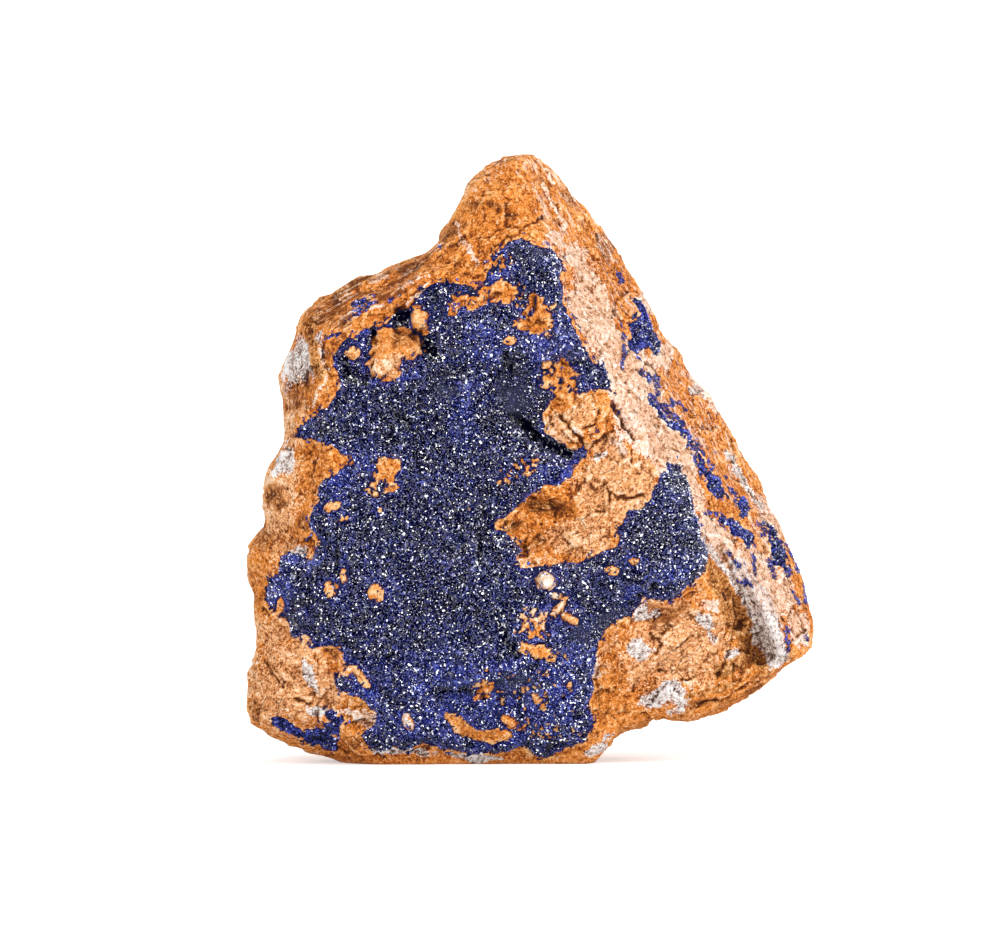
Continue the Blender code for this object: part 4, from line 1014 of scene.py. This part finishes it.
def makeCrusts(skin, share, matrix):
    shapes = crystalShapes()
    spots = coordinates(skin.data)
    owner, best = owners(spots)
    v = crustValues
    blue, loose, base = [azuriteMaterial(name) for name in azuriteLooks]
    surface = crustSkin(skin, share)
    for index, name in enumerate(crustNodes):
        title = "".join(part.capitalize() for part in name.split("_"))
        mine = (share > 0.0) & (owner == index) & (best < v["reach"])
        sheet = surface.copy()
        keepFaces(sheet, mine)
        sheet.materials.clear()
        sheet.materials.append(base)
        under = addObject("skin" + title, sheet, [name])
        bands = [mine]
        if name == "azurite_main_crust":
            high = spots[:, 2]
            cuts = zip(v["cuts"], v["cuts"][1:])
            bands = [mine & (high > lower) & (high <= upper + v["overlap"]) for lower, upper in cuts]
        for number, band in enumerate(bands):
            ground = surface.copy()
            keepFaces(ground, band)
            label = f"crystals{title}{number + 1}" if len(bands) > 1 else f"crystals{title}"
            look = blue if len(bands) > 1 else loose
            seed = 11 + 7 * index + 31 * number
            addCrystals(label, ground, shapes, v["crystalGap"], v["crystalLength"], seed, look)
            bpy.data.meshes.remove(ground)
        wall = under.modifiers.new("wall", "SOLIDIFY")
        wall.thickness = v["thickness"] * mm
        wall.offset = -1.0
        settled(under).shade_smooth()
        print(title, len(under.data.polygons), "faces of skin")
    ground = matrix.data.copy()
    layer = np.empty(len(ground.vertices))
    ground.attributes["grow"].data.foreach_get("value", layer)
    keepFaces(ground, layer > 0.02)
    addCrystals("crystalsScattered", ground, shapes, v["speckGap"], v["speckLength"], 301, loose)
    bpy.data.meshes.remove(ground)
    bpy.data.meshes.remove(surface)


# stage
stageValues = {
    "floor": 1.3,            # radius of the flat floor
    "ring": 0.4,             # radius of a ring of points on the floor
    "curve": 0.6,            # radius of the bend between floor and wall
    "bends": 12,             # steps in the bend
    "height": 1.8,
    "steps": 96,
    "paint": (0.93, 0.93, 0.93, 1.0),
    "nearGlow": (0.42, 0.42, 0.42),
    "farGlow": (0.95, 0.95, 0.95),
    "glowReach": (0.35, 1.2),
    "givenGlow": (0.10, 0.10, 0.10),            # the light that it gives the specimen
    "mirrored": (0.12, 0.12, 0.12, 1.0),        # what the crystals reflect of it
}


def makeStage():
    # a pale round floor that curves up into a wall
    v = stageValues
    bm = bmesh.new()
    profile = [(0.0, 0.0), (v["ring"], 0.0), (v["floor"], 0.0)]
    for step in range(1, v["bends"] + 1):
        angle = math.radians(90.0 * step / v["bends"])
        profile.append((v["floor"] + v["curve"] * math.sin(angle), v["curve"] * (1.0 - math.cos(angle))))
    profile.append((v["floor"] + v["curve"], v["height"]))
    points = [bm.verts.new((x, 0.0, z)) for x, z in profile]
    edges = [bm.edges.new(pair) for pair in zip(points, points[1:])]
    bmesh.ops.spin(
        bm, geom=[*points, *edges], cent=(0, 0, 0), axis=(0, 0, 1), angle=2.0 * math.pi,
        steps=v["steps"], use_merge=True
    )
    bmesh.ops.remove_doubles(bm, verts=bm.verts, dist=1e-5)
    bmesh.ops.recalc_face_normals(bm, faces=bm.faces)
    if min(bm.faces, key=lambda face: face.calc_center_median().length).normal.z < 0.0:
        bmesh.ops.reverse_faces(bm, faces=bm.faces)
    mesh = bpy.data.meshes.new("sweep")
    bm.to_mesh(mesh)
    bm.free()
    mesh.shade_smooth()
    floor = bpy.data.objects.new("sweep", mesh)
    bpy.context.scene.collection.objects.link(floor)
    paint = Paint("sweep")
    coords = paint.node("ShaderNodeTexCoord", {}, {})("Object")
    away = paint.node("ShaderNodeVectorMath", {"operation": "LENGTH"}, {0: coords})("Value")
    seen = paint.node("ShaderNodeLightPath", {}, {})("Is Camera Ray")
    glow = paint.mix(away.step(*v["glowReach"]), v["nearGlow"], v["farGlow"])
    paint.feed(
        Base_Color=v["paint"], Roughness=0.95, Specular_IOR_Level=0.0,
        Emission_Color=paint.mix(seen, v["givenGlow"], glow), Emission_Strength=1.0
    )
    dim = paint.node("ShaderNodeBsdfDiffuse", {}, {"Color": v["mirrored"]})("BSDF")
    mirrored = paint.node("ShaderNodeLightPath", {}, {})("Is Glossy Ray")
    bright = Wire(paint, paint.shader.outputs[0])
    mixed = paint.node("ShaderNodeMixShader", {}, {0: mirrored, 1: bright, 2: dim})("Shader")
    paint.tree.links.new(mixed.socket, paint.tree.nodes["Material Output"].inputs["Surface"])
    paint.material.cycles.emission_sampling = "NONE"
    mesh.materials.append(paint.material)


lightValues = {
    "key": {"place": (0.42, -0.62, 0.60), "size": 0.58, "glow": 5.6},
    "side": {"place": (0.75, -0.10, 0.30), "size": 0.50, "glow": 4.2},
    "fill": {"place": (-0.55, -0.72, 0.28), "size": 0.58, "glow": 3.6},
    "top": {"place": (-0.12, -0.05, 0.85), "size": 0.50, "glow": 2.9},
    "back": {"place": (-0.15, 0.85, 0.45), "size": 0.50, "glow": 2.2},
    "low": {"place": (0.22, -0.90, 0.12), "size": 0.34, "glow": 2.2},
}
# shares of the white that the camera sees: the light it gives, and what the crystals mirror of that
worldValues = {"glow": 0.30, "mirrored": 0.4}


def makeLights():
    aim = Vector((0.0, -0.01, 0.045))
    for name, value in lightValues.items():
        data = bpy.data.lights.new(name, "AREA")
        data.energy = value["glow"] * math.pi * value["size"] ** 2
        data.size = value["size"]
        lamp = bpy.data.objects.new(name, data)
        lamp.location = value["place"]
        lamp.rotation_euler = (aim - lamp.location).to_track_quat("-Z", "Y").to_euler()
        bpy.context.scene.collection.objects.link(lamp)


def makeWorld():
    # white to the camera, dimmer in what it gives and in what mirrors it
    world = bpy.data.worlds.new("studio")
    world.use_nodes = True
    nodes, links = world.node_tree.nodes, world.node_tree.links
    path = nodes.new("ShaderNodeLightPath")
    strength = nodes.new("ShaderNodeMath")
    strength.operation = "MULTIPLY"
    shares = (("Is Camera Ray", worldValues["glow"], 1.0), ("Is Glossy Ray", 1.0, worldValues["mirrored"]))
    for index, (ray, low, high) in enumerate(shares):
        share = nodes.new("ShaderNodeMapRange")
        share.inputs["To Min"].default_value = low
        share.inputs["To Max"].default_value = high
        links.new(path.outputs[ray], share.inputs["Value"])
        links.new(share.outputs["Result"], strength.inputs[index])
    links.new(strength.outputs["Value"], nodes["Background"].inputs["Strength"])
    nodes["Background"].inputs["Color"].default_value = (1.0, 1.0, 1.0, 1.0)
    bpy.context.scene.world = world


cameraValues = {"aim": (-0.0045, -0.0206, 0.0450), "distance": 1.50, "elevation": 1.5, "lens": 364.0}


def makeCamera():
    v = cameraValues
    data = bpy.data.cameras.new("camera")
    data.lens = v["lens"]
    data.clip_start = 0.01
    camera = bpy.data.objects.new("camera", data)
    rise = math.radians(v["elevation"])
    camera.location = Vector(v["aim"]) + Vector((0.0, -math.cos(rise), math.sin(rise))) * v["distance"]
    camera.rotation_euler = (math.pi / 2 - rise, 0.0, 0.0)
    bpy.context.scene.collection.objects.link(camera)
    bpy.context.scene.camera = camera


bpy.context.scene.view_settings.view_transform = "Standard"
makeStage()
makeLights()
makeWorld()
makeCamera()
print("stage ready")
skin = wholeSurface()
share = crustShare(coordinates(skin.data))
facing = normals(skin.data)
# bare rock that faces the front or the right gets a finer mesh
bare = (share < 0.8) & (-facing[:, 1] + 0.9 * facing[:, 0] > -0.1)
refine(skin, [face.index for face in skin.data.polygons if any(bare[i] for i in face.vertices)])
share = crustShare(coordinates(skin.data))
print("surface", len(skin.data.vertices), "points")
matrix = makeMatrix(skin, share)
print("matrix", sum(len(face.vertices) - 2 for face in matrix.data.polygons), "triangles")
makeCrusts(skin, share, matrix)
bpy.data.objects.remove(skin)
print("crusts done")
